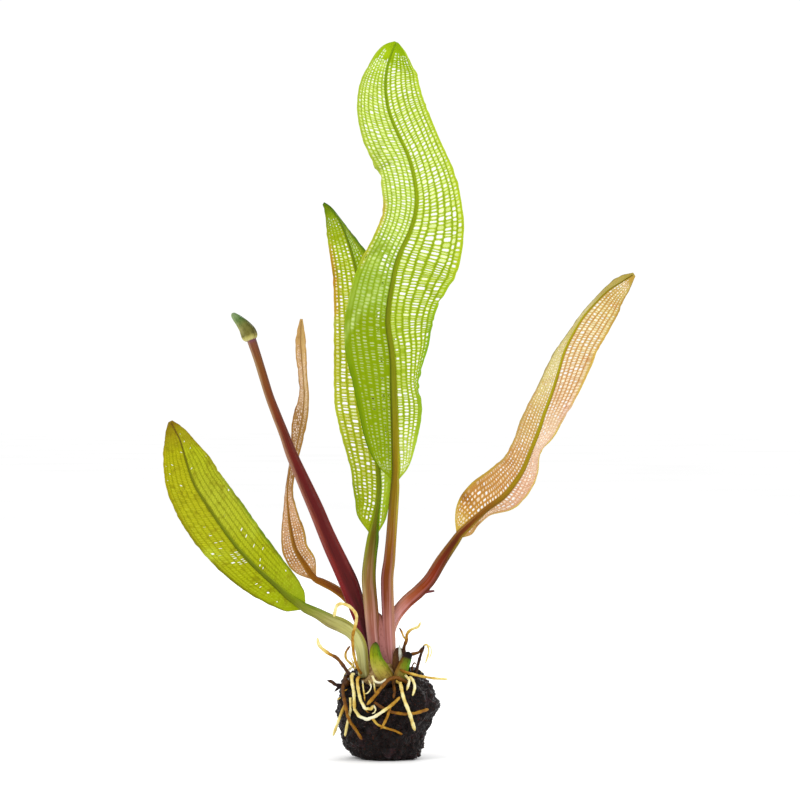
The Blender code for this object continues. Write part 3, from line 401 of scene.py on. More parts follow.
# Pale stripe on the ridges low on each stalk: partly the stalk's own streaks, partly painted highlight on the ridges
RIDGE_STRIPES_AND_HIGHLIGHTS = {
    "leaf_tall": (214, 160, 160), "leaf_centre": (224, 178, 170), "leaf_right": (226, 164, 176),
    "leaf_left": (222, 222, 160), "leaf_withered": (160, 96, 50), "flower_stalk": (150, 76, 96), "crown": (216, 168, 172),
    "flower_bud": (176, 172, 112), "green_shoot": (198, 184, 96), "cut_shoot": (186, 170, 92),
    "stump": (128, 92, 62), "sheath": (226, 228, 218), "spur": (170, 110, 110),
}

FLOWER_STALK = [
    (-3.4, 1.9, 29.2, 2.4, 1.6), (-3.8, 1.9, 33.2, 2.4, 1.6), (-5.4, 1.9, 39.5, 2.6, 1.7), (-7.6, 1.9, 45.5, 2.8, 1.8),
    (-11.0, 1.6, 55.1, 3.2, 1.9), (-13.7, 1.3, 62.8, 3.5, 2.0), (-16.7, 1.0, 69.4, 3.3, 2.1),
    (-19.8, 0.7, 76.0, 3.1, 2.2), (-22.7, 0.5, 82.7, 2.9, 2.2), (-25.5, 0.4, 89.5, 2.8, 2.2),
    (-28.5, 0.4, 96.2, 2.6, 2.1), (-31.5, 0.3, 102.9, 2.3, 2.0), (-34.4, 0.3, 109.4, 2.1, 1.9),
    (-36.9, 0.2, 116.2, 1.8, 1.7), (-39.6, 0.2, 123.0, 1.7, 1.6), (-42.2, 0.1, 129.8, 1.6, 1.6),
    (-44.3, 0.1, 136.5, 1.6, 1.6), (-46.5, 0.0, 143.7, 1.6, 1.6), (-48.6, 0.0, 150.0, 1.7, 1.7),
    (-49.2, 0.0, 151.9, 1.7, 1.6),
]
BUD = [
    (-48.8, 0.0, 150.2, 1.9, 1.8), (-49.3, 0.0, 151.5, 2.9, 2.5), (-50.0, 0.0, 153.2, 3.0, 2.6),
    (-51.2, 0.0, 155.2, 2.5, 2.2), (-52.8, 0.0, 157.0, 2.0, 1.8), (-54.4, 0.0, 158.6, 1.5, 1.4),
    (-55.4, 0.0, 159.6, 1.0, 0.9), (-55.9, 0.0, 160.1, 0.4, 0.4),
]
GREEN_SHOOT = [
    (1.0, -6.6, 27.6, 2.4, 1.6), (-0.2, -7.6, 29.4, 2.8, 1.8), (-1.6, -7.9, 31.6, 3.0, 1.9),
    (-2.9, -7.9, 33.9, 2.8, 1.9), (-3.8, -7.7, 36.0, 2.4, 1.8), (-4.3, -7.3, 38.7, 2.0, 1.6), (-4.2, -7.0, 40.8, 1.5, 1.2),
    (-3.9, -6.8, 42.3, 0.5, 0.5),
]
CUT_SHOOT = [
    (3.9, -5.8, 27.8, 2.2, 1.6), (4.6, -6.4, 29.9, 2.3, 1.6), (5.4, -6.4, 32.0, 2.2, 1.6), (6.4, -6.3, 34.6, 2.0, 1.6),
    (7.2, -6.2, 36.8, 1.75, 1.4), (7.6, -6.2, 38.0, 1.55, 1.2), (7.8, -6.2, 38.8, 0.9, 0.7),
]

# Peat lump and root stock: height, then how far it reaches to the left, right, front and back, mm
LUMP = [
    (0.0, -9.2, 10.2, -9.6, 9.6), (1.2, -11.2, 11.6, -11.4, 11.2), (3.4, -14.0, 13.1, -13.3, 13.1),
    (6.5, -16.4, 13.5, -14.8, 14.6), (10.5, -17.0, 14.7, -15.8, 15.6), (14.8, -17.6, 16.8, -16.6, 16.4),
    (19.0, -17.9, 19.1, -17.0, 17.0), (23.0, -17.6, 17.2, -16.6, 16.6), (26.3, -17.0, 15.5, -15.4, 15.6),
    (29.2, -15.1, 13.8, -13.8, 14.0), (31.2, -13.2, 12.0, -12.4, 12.6), (32.2, -11.8, 10.4, -11.4, 11.2),
]
LUMP_WELL = [
    (31.0, -10.9, 8.2, -10.2, 8.7), (28.0, -10.6, 8.4, -10.2, 8.8), (25.2, -9.4, 7.2, -9.3, 7.6),
    (24.0, -6.7, 4.7, -6.2, 5.7),
]
STOCK = [
    (24.4, -6.0, 4.0, -5.5, 5.0), (25.0, -8.6, 6.4, -8.4, 6.8), (26.8, -9.8, 7.6, -9.6, 7.8),
    (28.2, -10.0, 7.8, -9.5, 8.0), (28.9, -10.0, 7.4, -8.4, 8.0), (29.6, -10.0, 7.2, -6.8, 7.9),
    (30.6, -10.0, 6.9, -5.6, 7.6), (31.8, -9.4, 6.2, -5.0, 6.8), (33.2, -8.8, 5.4, -4.4, 6.0),
    (34.6, -7.4, 3.9, -3.5, 5.0), (35.2, -4.0, 1.5, -1.5, 2.5),
]
FRONT_DROP = 6.0              # the lump's rim is lower at the front, mm

# Roots: half thickness at the start and the end, how pale the start, middle and end are, from 0 black-brown to 1
# white, and the way-points. A point of two numbers (x, z) lies on the lump's front, or on its back for those so named.
ROOTS = {
    "root_01": (0.6, 0.7, (0.45, 0.6, 0.5, 0.75, 0.85, 0.8), [
        (-9.2, -6.6, 30.8), (-10.6, -7.5, 33.4), (-11.8, -8.6, 38.0), (-12.2, -8.6, 44.0), (-11.2, -8.6, 48.6),
        (-10.9, -8.8, 51.8), (-12.8, -9.0, 54.6), (-15.8, -9.0, 56.0), (-17.9, -9.0, 55.2), (-18.9, -9.0, 51.3)]),
    "root_02": (0.8, 0.7, (0.1, 0.2, 0.35, 0.75, 0.95), [
        (-12.4, -7.8, 29.6), (-13.6, -8.6, 31.0), (-15.8, -8.6, 34.1), (-18.0, -8.4, 36.7), (-21.0, -8.2, 38.4),
        (-24.1, -8.0, 41.1), (-24.9, -8.0, 43.9)]),
    "root_03": (0.5, 0.5, (0.75, 0.7, 0.66, 0.38), [
        (-11.4, -5.0, 32.4), (-12.6, -4.6, 33.9), (-14.6, -4.8, 36.0), (-14.7, -5.0, 38.4), (-13.2, -5.2, 40.8)]),
    "root_04": (0.95, 0.6, (0.0, 0.05, 0.08), [
        (-15.8, -5.8, 26.4), (-18.4, -6.4, 27.0), (-19.6, -6.6, 27.9), (-21.4, -6.8, 28.5)]),
    "root_05": (0.95, 0.5, (0.08, 0.1, 0.16, 0.5, 0.74, 0.8), [
        (6.6, 0.8, 30.8), (7.6, 0.6, 32.4), (6.6, 0.3, 36.0), (6.1, 0.1, 39.4), (7.0, 0.0, 42.3), (7.2, 0.0, 44.6),
        (8.6, 0.0, 46.2), (11.2, 0.0, 47.3), (12.1, 0.0, 49.0)]),
    "root_06": (0.45, 0.4, (0.55, 0.6, 0.5, 0.1), [
        (6.8, -0.2, 42.8), (5.9, -1.0, 44.0), (5.2, -1.1, 45.6), (4.4, -1.1, 47.1)]),
    "root_07": (0.7, 0.55, (0.1, 0.12, 0.1), [
        (10.2, -2.6, 30.8), (11.0, -2.6, 33.4), (12.0, -2.6, 36.8), (13.4, -2.6, 41.0)]),
    "root_08": (0.95, 0.5, (0.2, 0.3, 0.32, 0.2), [
        (7.2, -0.8, 33.4), (8.4, -0.8, 37.0), (10.0, -1.4, 37.7), (11.6, -1.9, 38.3), (12.9, -2.4, 40.2)]),
    "root_09": (0.4, 0.4, (0.8, 0.86, 0.9), [
        (13.3, -2.9, 40.8), (14.4, -3.4, 41.0), (15.0, -3.6, 38.6), (13.8, -3.8, 34.4)]),
    "root_10": (0.6, 0.5, (0.45, 0.62, 0.7, 0.82), [
        (4.8, -7.4, 32.4), (6.0, -9.3, 31.9), (8.6, -9.8, 31.2), (12.4, -9.4, 30.2), (17.0, -9.0, 29.4),
        (21.8, -8.8, 29.1)]),
    "root_11": (0.6, 0.5, (0.85, 0.92, 0.8), [
        (6.6, -9.0, 30.4), (7.9, -11.2, 29.2), (7.8, -13.0, 27.8), (7.0, 25.4)]),
    "root_12": (0.7, 0.5, (0.88, 0.92, 0.78), [(8.2, -9.0, 29.9), (9.4, -11.0, 28.6), (9.9, -11.6, 26.4), (9.1, 23.6)]),
    "root_13": (0.7, 0.75, (0.6, 0.8, 0.86, 0.8), [
        (3.4, -8.6, 28.2), (4.6, -10.3, 27.6), (4.9, -13.2, 27.6), (5.9, -17.2, 23.2), (8.1, -18.0, 17.7),
        (10.0, -14.8, 11.3)]),
    "root_14": (0.8, 0.7, (0.28, 0.34, 0.42, 0.6), [
        (7.4, -9.6, 27.6), (6.4, -10.8, 28.6), (3.4, -12.2, 29.9), (0.7, -13.4, 29.3), (-1.9, -15.6, 26.7),
        (-4.5, -17.8, 23.7), (-7.1, -17.6, 20.7)]),
    "root_15": (0.7, 0.6, (0.25, 0.26, 0.28), [(2.2, -9.0, 28.9), (2.4, -10.9, 28.0), (2.7, 25.4), (2.4, 22.9)]),
    "root_16": (0.7, 0.65, (0.8, 0.95, 1.0, 0.96, 0.6, 0.48), [
        (-11.6, 18.8), (-9.8, 16.4), (-7.1, 15.5), (-4.1, 16.6), (0.2, -18.6, 19.6), (2.5, -18.4, 21.4),
        (4.7, -17.6, 23.6)]),
    "root_17": (0.6, 0.65, (0.3, 0.4, 0.45, 0.52), [
        (-4.4, 21.6), (-2.0, 19.9), (1.9, 18.2), (6.2, 17.4), (10.1, 17.5), (14.9, 18.6)]),
    "root_18": (0.6, 0.5, (0.45, 0.48, 0.5), [(1.2, -17.8, 19.9), (0.2, -18.3, 16.6), (-2.1, -18.8, 12.2)]),
    "root_19": (0.5, 0.5, (0.66, 0.6, 0.5, 0.38), [(-5.4, 16.1), (-3.3, 13.7), (-0.6, 12.5), (2.8, 11.4), (5.7, 9.9)]),
    "root_20": (0.65, 0.65, (0.45, 0.8, 0.92, 0.75), [
        (-9.8, -9.6, 30.0), (-10.5, -11.2, 29.2), (-10.3, -12.9, 26.2), (-9.3, 22.2), (-7.7, 19.3), (-5.6, 19.2),
        (-4.6, 20.6)]),
    "root_21": (0.75, 0.7, (0.78, 0.88, 0.86, 0.68), [
        (-11.8, -7.2, 30.8), (-12.6, -8.6, 30.4), (-12.4, -10.9, 28.2), (-11.7, 24.4), (-11.5, 18.2)]),
    "root_22": (0.75, 0.65, (0.15, 0.28, 0.38, 0.42, 0.46), [
        (-13.6, -7.4, 30.4), (-14.9, -9.0, 29.2), (-15.7, -10.6, 25.5), (-14.9, -12.2, 20.8), (-13.7, -13.4, 15.6),
        (-11.0, 11.4), (-8.8, 8.0)]),
    "root_23": (0.6, 0.6, (0.75, 0.86, 0.76), [(-13.0, 22.8), (-12.9, 18.6), (-14.0, 13.6), (-15.0, -9.8, 8.8)]),
    "root_24": (0.6, 0.6, (0.62, 0.8, 0.84), [
        (-14.9, 20.4), (-16.4, -9.4, 16.6), (-17.6, -8.8, 13.4), (-19.3, -8.8, 8.8)]),
    "root_25": (0.55, 0.45, (0.9, 1.0, 0.95), [
        (-5.2, -9.0, 30.2), (-4.3, -11.4, 28.7), (-2.8, -11.8, 28.1), (-1.3, -11.5, 28.5), (-0.3, -10.2, 29.4)]),
    "root_back_1": (0.7, 0.6, (0.5, 0.8, 0.85), [
        (-3.0, 7.2, 31.6), (-3.6, 11.4, 33.2), (-4.1, 14.2, 31.0), (-4.4, 25.0), (-6.5, 18.0), (-5.2, 9.0)]),
    "root_back_2": (0.6, 0.6, (0.3, 0.45, 0.55), [
        (3.5, 7.0, 31.4), (4.4, 11.0, 33.0), (5.2, 13.8, 31.0), (6.6, 25.0), (9.4, 18.5), (12.2, 15.0)]),
    "root_back_3": (0.7, 0.5, (0.4, 0.5, 0.8), [
        (-7.0, 4.8, 31.6), (-9.2, 8.8, 33.4), (-11.2, 11.8, 31.4), (-13.0, 24.5), (-12.2, 17.0), (-13.0, 11.0)]),
    "root_back_4": (0.6, 0.5, (0.75, 0.9, 0.9), [
        (0.6, 7.0, 31.4), (1.0, 11.4, 33.2), (1.4, 14.2, 30.8), (1.2, 24.0), (-1.0, 16.0), (1.8, 10.5)]),
}
# Rootlets too fine for a solid, and the stump of an old root, in the same way
ROOTLETS = [
    (0.35, 0.3, (0.95, 0.9, 0.75, 0.5), [(-8.7, -8.8, 28.4), (-8.5, -12.0, 26.8), (-8.0, 24.0), (-7.8, 21.8)]),
    (0.35, 0.3, (0.9, 0.95, 0.85), [(-6.4, -9.0, 28.6), (-5.6, -12.4, 26.6), (-6.6, -14.4, 24.8), (-8.0, -14.6, 24.3)]),
    (0.4, 0.3, (0.9, 0.8, 0.6), [(-4.6, -9.2, 28.2), (-4.4, -13.4, 26.6), (-4.1, 24.6)]),
    (0.35, 0.3, (0.95, 0.98, 0.9), [(-4.6, 20.6), (-3.9, 19.0), (-4.4, 17.9), (-5.3, 17.5)]),
    (0.3, 0.25, (0.5, 0.4, 0.35), [(-7.6, 18.9), (-6.8, 18.0), (-6.1, 17.9)]),
    (0.3, 0.3, (0.85, 0.9, 0.85), [(-11.0, -5.0, 35.8), (-12.0, -5.0, 34.6), (-12.7, -5.6, 33.0), (-13.6, -5.8, 31.6)]),
    (0.3, 0.2, (0.8, 0.85, 0.8), [(-12.8, -5.2, 36.4), (-12.2, -5.2, 34.8), (-11.6, -5.2, 33.4)]),
    (0.35, 0.3, (0.25, 0.3, 0.6), [(9.0, -3.0, 31.6), (9.2, -3.2, 33.6), (9.9, -3.4, 34.6), (10.6, -3.4, 33.8)]),
    (0.3, 0.2, (0.85, 0.9, 0.9), [(14.2, -3.4, 41.0), (15.6, -3.6, 40.2), (15.9, -3.6, 38.0), (15.0, -3.6, 35.8)]),
    (0.35, 0.3, (0.4, 0.6, 0.62), [(-16.2, -8.8, 25.9), (-15.2, -10.6, 25.2), (-14.0, -10.4, 25.7)]),
    (0.3, 0.25, (0.6, 0.72, 0.72), [(-15.6, -7.4, 22.8), (-16.9, -7.6, 22.2), (-17.9, -7.0, 21.5)]),
    (0.55, 0.5, (0.05, 0.05, 0.08), [(-16.0, -5.4, 26.6), (-17.6, -5.8, 25.6), (-18.8, -5.8, 24.4)]),
    (1.6, 1.5, (0.12, 0.2, 0.1), [(-13.4, -5.4, 28.4), (-14.4, -8.0, 28.0), (-15.1, -10.6, 27.4)]),
    (0.3, 0.25, (0.7, 0.85, 0.9), [(8.0, 5.0, 30.6), (10.6, 7.6, 31.4), (12.6, 9.0, 30.0), (13.6, 9.8, 27.6)]),
    (0.3, 0.25, (0.5, 0.6, 0.8), [(-9.0, 4.4, 31.2), (-12.4, 6.0, 32.2), (-14.6, 6.6, 30.6), (-16.0, 7.2, 28.0)]),
]

# Where the stalks' bases grow together, the stump of an old leaf beside them and the thin white sheath in front of it
CROWN = [
    (-1.4, -1.8, 29.6, 4.2, 2.2), (-1.5, -1.8, 34.0, 4.5, 1.9), (-1.9, -1.8, 40.0, 4.6, 1.5), (-2.3, -1.8, 46.0, 3.9, 1.1),
    (-2.9, -1.6, 49.5, 2.2, 0.7), (-3.2, -1.4, 52.5, 0.6, 0.3),
]
STUMP = [
    (4.4, -3.4, 30.0, 3.0, 1.6), (4.3, -3.6, 33.4, 2.7, 1.4), (4.3, -3.8, 36.4, 2.4, 1.0), (4.1, -3.9, 38.6, 1.9, 0.6),
    (3.4, -3.9, 40.0, 0.8, 0.3),
]
SHEATH = [
    (5.0, -5.0, 35.0, 0.7, 0.3), (4.8, -5.0, 37.4, 0.7, 0.3), (4.6, -4.9, 39.4, 0.5, 0.2), (4.4, -4.8, 41.2, 0.1, 0.1),
]
SPUR = [(13.0, 2.6, 59.2, 0.6, 0.5), (14.6, 2.6, 59.7, 0.55, 0.45), (17.2, 2.7, 60.0, 0.4, 0.3)]


# Sizes, curves and meshes


def smooth(rows, count):
    """Even steps along a curve through rows of numbers, of which the first three are the position."""
    rows = np.array(rows, float)
    ends = np.vstack([2 * rows[0] - rows[1], rows, 2 * rows[-1] - rows[-2]])
    steps = np.linspace(0.0, 1.0, 12, endpoint=False)[:, None]
    fine = [
        b + 0.5 * steps * (c - a + steps * (2 * a - 5 * b + 4 * c - d + steps * (3 * b - a - 3 * c + d)))
        for a, b, c, d in zip(ends, ends[1:], ends[2:], ends[3:])
    ]
    fine = np.vstack(fine + [rows[-1:]])
    travelled = np.r_[0, np.cumsum(np.linalg.norm(np.diff(fine[:, :3], axis=0), axis=1))]
    at = np.linspace(0, travelled[-1], count)
    return np.column_stack([np.interp(at, travelled, column) for column in fine.T])


def unit(vectors):
    return vectors / np.linalg.norm(vectors, axis=-1, keepdims=True)


def colour(red, green, blue, light=LIGHT):
    """Linear colour of a skin that looks in the studio light as a colour picker's 0 to 255 numbers say."""
    share = np.array([red, green, blue]) / 255
    seen = np.where(share < 0.04045, share / 12.92, ((share + 0.055) / 1.055) ** 2.4)
    return (*np.clip((seen - SHEEN) / light, 0.002, 1.0), 1.0)


def make(name, points, faces, finish, attributes=None):
    """Mesh object from points in mm. Attributes: name, then a list with one number for each point or each face."""
    mesh = bpy.data.meshes.new(name)
    mesh.from_pydata((np.array(points) * MM).tolist(), [], faces)
    for key, values in (attributes or {}).items():
        domain = "POINT" if len(values) == len(points) else "FACE"
        mesh.attributes.new(key, "FLOAT", domain).data.foreach_set("value", np.array(values, float))
    mesh.shade_smooth()
    mesh.materials.append(finish)
    made = bpy.data.objects.new(name, mesh)
    plant_collection().objects.link(made)
    return made


def plant_collection():
    found = bpy.data.collections.get("Dressed plant")
    if not found:
        found = bpy.data.collections.new("Dressed plant")
        bpy.context.scene.collection.children.link(found)
    return found


def dress(piece, slot, *nodes):
    """The piece stands for these solids, which are hidden. The slot is not used."""
    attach(piece, "root")
    if nodes:
        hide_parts(*nodes)


def baked(piece):
    """Turns what the piece's modifiers make into a plain mesh."""
    bpy.context.view_layer.update()
    graph = bpy.context.evaluated_depsgraph_get()
    mesh = bpy.data.meshes.new_from_object(piece.evaluated_get(graph), depsgraph=graph)
    piece.modifiers.clear()
    mesh.name = piece.name
    old, piece.data = piece.data, mesh
    bpy.data.meshes.remove(old)
    return piece


def grid_faces(rings, sides, first=0, closed_ends=True):
    """Faces of a tube whose points lie ring after ring, facing outwards where the rings turn anticlockwise."""
    faces = []
    for ring in range(rings - 1):
        low, high = first + ring * sides, first + (ring + 1) * sides
        for i in range(sides):
            j = (i + 1) % sides
            faces.append((low + i, low + j, high + j, high + i))
    if closed_ends:
        faces.append(tuple(first + i for i in reversed(range(sides))))
        faces.append(tuple(first + (rings - 1) * sides + i for i in range(sides)))
    return faces


def frames(points):
    """Two directions square to the way at each point, turning as little as they can along it."""
    way = unit(np.gradient(points, axis=0))
    first = np.cross(way[0], FRONT if abs(way[0] @ FRONT) < 0.9 else np.array([1.0, 0, 0]))
    sides = [first / np.linalg.norm(first)]
    for direction in way[1:]:
        turned = sides[-1] - direction * (sides[-1] @ direction)
        sides.append(turned / np.linalg.norm(turned))
    sides = np.array(sides)
    return sides, np.cross(way, sides)


def stem_points(rows, count, sides, ridges, depth, blunt=0.0):
    """Points of a ridged stem through rows of x, y, z, half width, half depth, and what each point has stored: how far
    along the stem it lies, whether it is on a ridge (1) or in a groove (0), and its side from -1 left to 1 right.
    Depth of the grooves is a table of share along the stem and share of its thickness. Blunt ends close over that many
    mm."""
    rows = smooth(rows, count)
    way = unit(np.gradient(rows[:, :3], axis=0))
    side = unit(np.cross(way, FRONT))
    face = np.cross(side, way)
    turn = np.linspace(0, 2 * np.pi, sides, endpoint=False)
    along = np.linspace(0, 1, count)
    ridge = 0.5 + 0.5 * np.cos(ridges * turn[None, :] + 0.8 * np.sin(9 * along)[:, None])
    grow = 1 - np.interp(along, *zip(*depth))[:, None] * (1 - ridge)
    if blunt:
        length = np.linalg.norm(np.diff(rows[:, :3], axis=0), axis=1).sum()
        near = np.minimum(along, 1 - along) * length / blunt
        grow = grow * np.sqrt(np.clip(1 - (1 - np.clip(near, 0, 1)) ** 2, 0.02, 1))[:, None]
    points = (
        rows[:, None, :3]
        + side[:, None] * (np.cos(turn) * rows[:, 3:4] * grow)[..., None]
        + face[:, None] * (np.sin(turn) * rows[:, 4:5] * grow)[..., None]
    )
    return points.reshape(-1, 3), {
        "along": np.repeat(along, sides), "ridge": ridge.reshape(-1), "side": np.tile(np.cos(turn), count)}


def stem(name, rows, count, sides, ridges, depth, finish, blunt=0.6):
    points, kept = stem_points(rows, count, sides, ridges, depth, blunt)
    return make(name, points, grid_faces(count, sides), finish, kept)


# Node trees


def put(tree, kind, inputs=None, **settings):
    """Adds a node with these settings, its inputs filled with values, or linked to nodes' first outputs or sockets."""
    made = tree.nodes.new(kind)
    for key, value in settings.items():
        setattr(made, key, value)
    for key, value in (inputs or {}).items():
        if isinstance(value, bpy.types.Node):
            value = next(socket for socket in value.outputs if socket.enabled)
        if isinstance(value, bpy.types.NodeSocket):
            tree.links.new(value, made.inputs[key])
        else:
            made.inputs[key].default_value = value
    return made


def ramp(tree, factor, stops, light=LIGHT):
    """Colour ramp through stops of position and picker colour."""
    made = put(tree, "ShaderNodeValToRGB", {0: factor})
    line = made.color_ramp.elements
    line[0].position, line[-1].position = stops[0][0], stops[-1][0]
    line[0].color, line[-1].color = colour(*stops[0][1], light), colour(*stops[-1][1], light)
    for position, picked in stops[1:-1]:
        line.new(position).color = colour(*picked, light)
    return made.outputs["Color"]


def mixed(tree, factor, first, second, way="MIX", light=LIGHT):
    """Colour between the first and the second, either of which may be a picker colour."""
    made = put(tree, "ShaderNodeMix", {0: factor}, data_type="RGBA", blend_type=way)
    for index, value in ((6, first), (7, second)):
        if isinstance(value, tuple):
            made.inputs[index].default_value = colour(*value, light)
        else:
            tree.links.new(value, made.inputs[index])
    return made.outputs[2]


def between(tree, value, low, high, to_low=0.0, to_high=1.0):
    """The value's place between low and high, smoothed, spread over the new range."""
    return put(tree, "ShaderNodeMapRange", {0: value, 1: low, 2: high, 3: to_low, 4: to_high},
               interpolation_type="SMOOTHSTEP").outputs[0]


def reckon(tree, operation, first, second=0.0):
    return put(tree, "ShaderNodeMath", {0: first, 1: second}, operation=operation).outputs[0]


def grain(tree, scale, detail=2.0, stretch=(1, 1, 1)):
    """Noise fixed to the piece, in cells for each metre."""
    place = put(tree, "ShaderNodeTexCoord").outputs["Object"]
    if stretch != (1, 1, 1):
        place = put(tree, "ShaderNodeMapping", {"Vector": place, "Scale": stretch})
    return put(tree, "ShaderNodeTexNoise", {"Vector": place, "Scale": scale, "Detail": detail}).outputs[0]


def stored(tree, name):
    return put(tree, "ShaderNodeAttribute", attribute_name=name).outputs["Fac"]


def blank_finish(name):
    made = bpy.data.materials.new(name)
    made.use_nodes = True
    tree = made.node_tree
    tree.nodes.clear()
    return made, tree


def close_finish(tree, base, rough, height, deep, gloss=0.15, shine_through=0.0):
    """Ends a finish: base colour, roughness, bump height and its depth in metres, and how much light shines through."""
    shader = put(tree, "ShaderNodeBsdfPrincipled", {"Base Color": base, "Roughness": rough})
    shader.inputs["Specular IOR Level"].default_value = gloss
    bump = put(tree, "ShaderNodeBump", {"Height": height, "Distance": deep, "Strength": 1.0})
    tree.links.new(bump.outputs[0], shader.inputs["Normal"])
    surface = shader.outputs[0]
    if shine_through:
        glow = put(tree, "ShaderNodeBsdfTranslucent", {"Color": base})
        surface = put(tree, "ShaderNodeMixShader", {0: shine_through, 1: surface, 2: glow}).outputs[0]
    tree.links.new(surface, put(tree, "ShaderNodeOutputMaterial").inputs["Surface"])


def blade_finish(name, shades):
    """Lace leaf: a sheet that changes along and across, painted shade in its creases and painted sheen on its folds,
    darker veins, chiefly lengthwise, and pale skin in closed cells."""
    made, tree = blank_finish(name)
    along, across, vein = stored(tree, "along"), stored(tree, "across"), stored(tree, "vein")
    right, thin = between(tree, across, -0.04, 0.04), THIN_LIGHT
    drift = reckon(tree, "ADD", along, reckon(tree, "MULTIPLY", reckon(tree, "SUBTRACT", grain(tree, 90), 0.5), 0.2))
    sheet = mixed(tree, right, ramp(tree, drift, shades["left"], thin), ramp(tree, drift, shades["right"], thin))
    edge = mixed(
        tree, right, ramp(tree, drift, shades["left_edge"], thin), ramp(tree, drift, shades["right_edge"], thin))
    near = between(tree, reckon(tree, "ABSOLUTE", across), shades["edge_from"], 0.99)
    base = mixed(tree, near, sheet, edge)
    patch = between(tree, grain(tree, 420, 5), 0.5, 0.72, 0.0, shades["spotted"])
    base = mixed(tree, patch, base, shades["spots"], light=thin)
    # Painted light on creases and folds: above nought painted shade in the crease colour, below nought painted sheen in
    # the pale fold colour; noise spreads a little of both.
    painted_fold_light = reckon(tree, "ADD", stored(tree, "painted_fold_light"), between(tree, grain(tree, 150, 3), 0.3, 0.7, -0.12, 0.12))
    base = mixed(tree, between(tree, painted_fold_light, 0.1, 1.0), base, shades["crease_shade"], light=thin)
    base = mixed(tree, between(tree, painted_fold_light, -0.1, -0.6), base, shades["painted_fold_light"], light=thin)
    off = reckon(tree, "ABSOLUTE", reckon(tree, "SUBTRACT", reckon(tree, "FRACT", stored(tree, "column")), 0.5))
    lengthwise = between(tree, off, 0.2, 0.5, shades["rungs"], shades["lengthwise"])
    line = reckon(tree, "MULTIPLY", between(tree, vein, 0.4, 0.95), lengthwise)
    base = mixed(tree, line, base, shades["vein"], light=thin)
    closed = reckon(tree, "MULTIPLY", between(tree, vein, 0.4, 0.05), stored(tree, "pale"))
    base = mixed(tree, closed, base, shades["skin"], light=thin)
    rough = between(tree, grain(tree, 500), 0.3, 0.7, 0.45, 0.6)
    close_finish(tree, base, rough, grain(tree, 1500, 3), 0.00006, gloss=0.06, shine_through=0.35)
    return made


def streaks(tree, fine, detail=3.0):
    """Noise drawn out along a stem, so many streaks to its width."""
    place = put(tree, "ShaderNodeCombineXYZ", {
        0: reckon(tree, "MULTIPLY", stored(tree, "side"), fine), 1: stored(tree, "ridge"),
        2: reckon(tree, "MULTIPLY", stored(tree, "along"), 12.0)})
    return put(tree, "ShaderNodeTexNoise", {"Vector": place, "Scale": 1.0, "Detail": detail}).outputs[0]


def stem_finish(name, gloss=0.08, stripes_and_highlights=0.45):
    """Fleshy stem: colours along its left edge, middle and right edge as seen from the front, which hold painted
    highlight and painted shade as well as its own colours; pale ridge stripes and streaks, partly painted highlight;
    and fine dark streaks.
    """
    stops = STEM_COLOURS[name]
    made, tree = blank_finish(name.replace("_", " ") + " skin")
    along, side = stored(tree, "along"), stored(tree, "side")
    drift = reckon(tree, "ADD", along, reckon(tree, "MULTIPLY", reckon(tree, "SUBTRACT", grain(tree, 200), 0.5), 0.03))
    left, middle, right = (ramp(tree, drift, [(at, shades[i]) for at, *shades in stops]) for i in range(3))
    shift = reckon(tree, "SUBTRACT", streaks(tree, 3.0), 0.5)
    side = reckon(tree, "ADD", side, reckon(tree, "MULTIPLY", shift, 0.7))
    # Left and right edges in their own colours, which include painted highlight and painted shade.
    base = mixed(tree, between(tree, side, -0.2, -0.85), middle, left)
    base = mixed(tree, between(tree, side, 0.2, 0.85), base, right)
    # Pale ridge stripes low on the stem, partly the stalk's own streaks and partly painted highlight.
    low = between(tree, along, 0.32, 0.02, 0.0, stripes_and_highlights)
    base = mixed(tree, reckon(tree, "MULTIPLY", between(tree, stored(tree, "ridge"), 0.55, 1.0), low), base, RIDGE_STRIPES_AND_HIGHLIGHTS[name])
    streak = between(tree, streaks(tree, 7.0), 0.5, 0.7, 0.0, 0.45)
    base = mixed(tree, streak, base, (120, 90, 60), "MULTIPLY")
    # Pale streaks low on the stem, partly the stalk's own and partly painted highlight.
    pale_and_highlight_streak = between(tree, streaks(tree, 5.0, 2.0), 0.42, 0.3, 0.0, 0.3)
    pale_and_highlight_streak = reckon(tree, "MULTIPLY", pale_and_highlight_streak, between(tree, along, 0.32, 0.1))
    base = mixed(tree, pale_and_highlight_streak, base, RIDGE_STRIPES_AND_HIGHLIGHTS[name])
    height = streaks(tree, 9.0)
    close_finish(tree, base, between(tree, grain(tree, 700), 0.3, 0.7, 0.38, 0.52), height, 0.00012, gloss=gloss)
    return made


def root_finish():
    """Roots from black-brown to white, each by its own pale number, with ringed wrinkles."""
    made, tree = blank_finish("root skin")
    tone = reckon(tree, "ADD", stored(tree, "pale"), between(tree, grain(tree, 420, 3), 0.3, 0.7, -0.1, 0.08))
    base = ramp(tree, tone, [
        (0.0, (46, 30, 20)), (0.18, (84, 54, 24)), (0.38, (128, 82, 20)), (0.52, (172, 122, 36)),
        (0.68, (216, 180, 84)), (0.84, (244, 228, 150)), (1.0, (253, 247, 214)),
    ])
    speck = between(tree, grain(tree, 1500, 4), 0.6, 0.75, 0.0, 0.4)
    base = mixed(tree, speck, base, (104, 72, 34))
    rough = between(tree, grain(tree, 900), 0.3, 0.7, 0.4, 0.55)
    close_finish(tree, base, rough, grain(tree, 2200, 3), 0.00012, gloss=0.18)
    return made


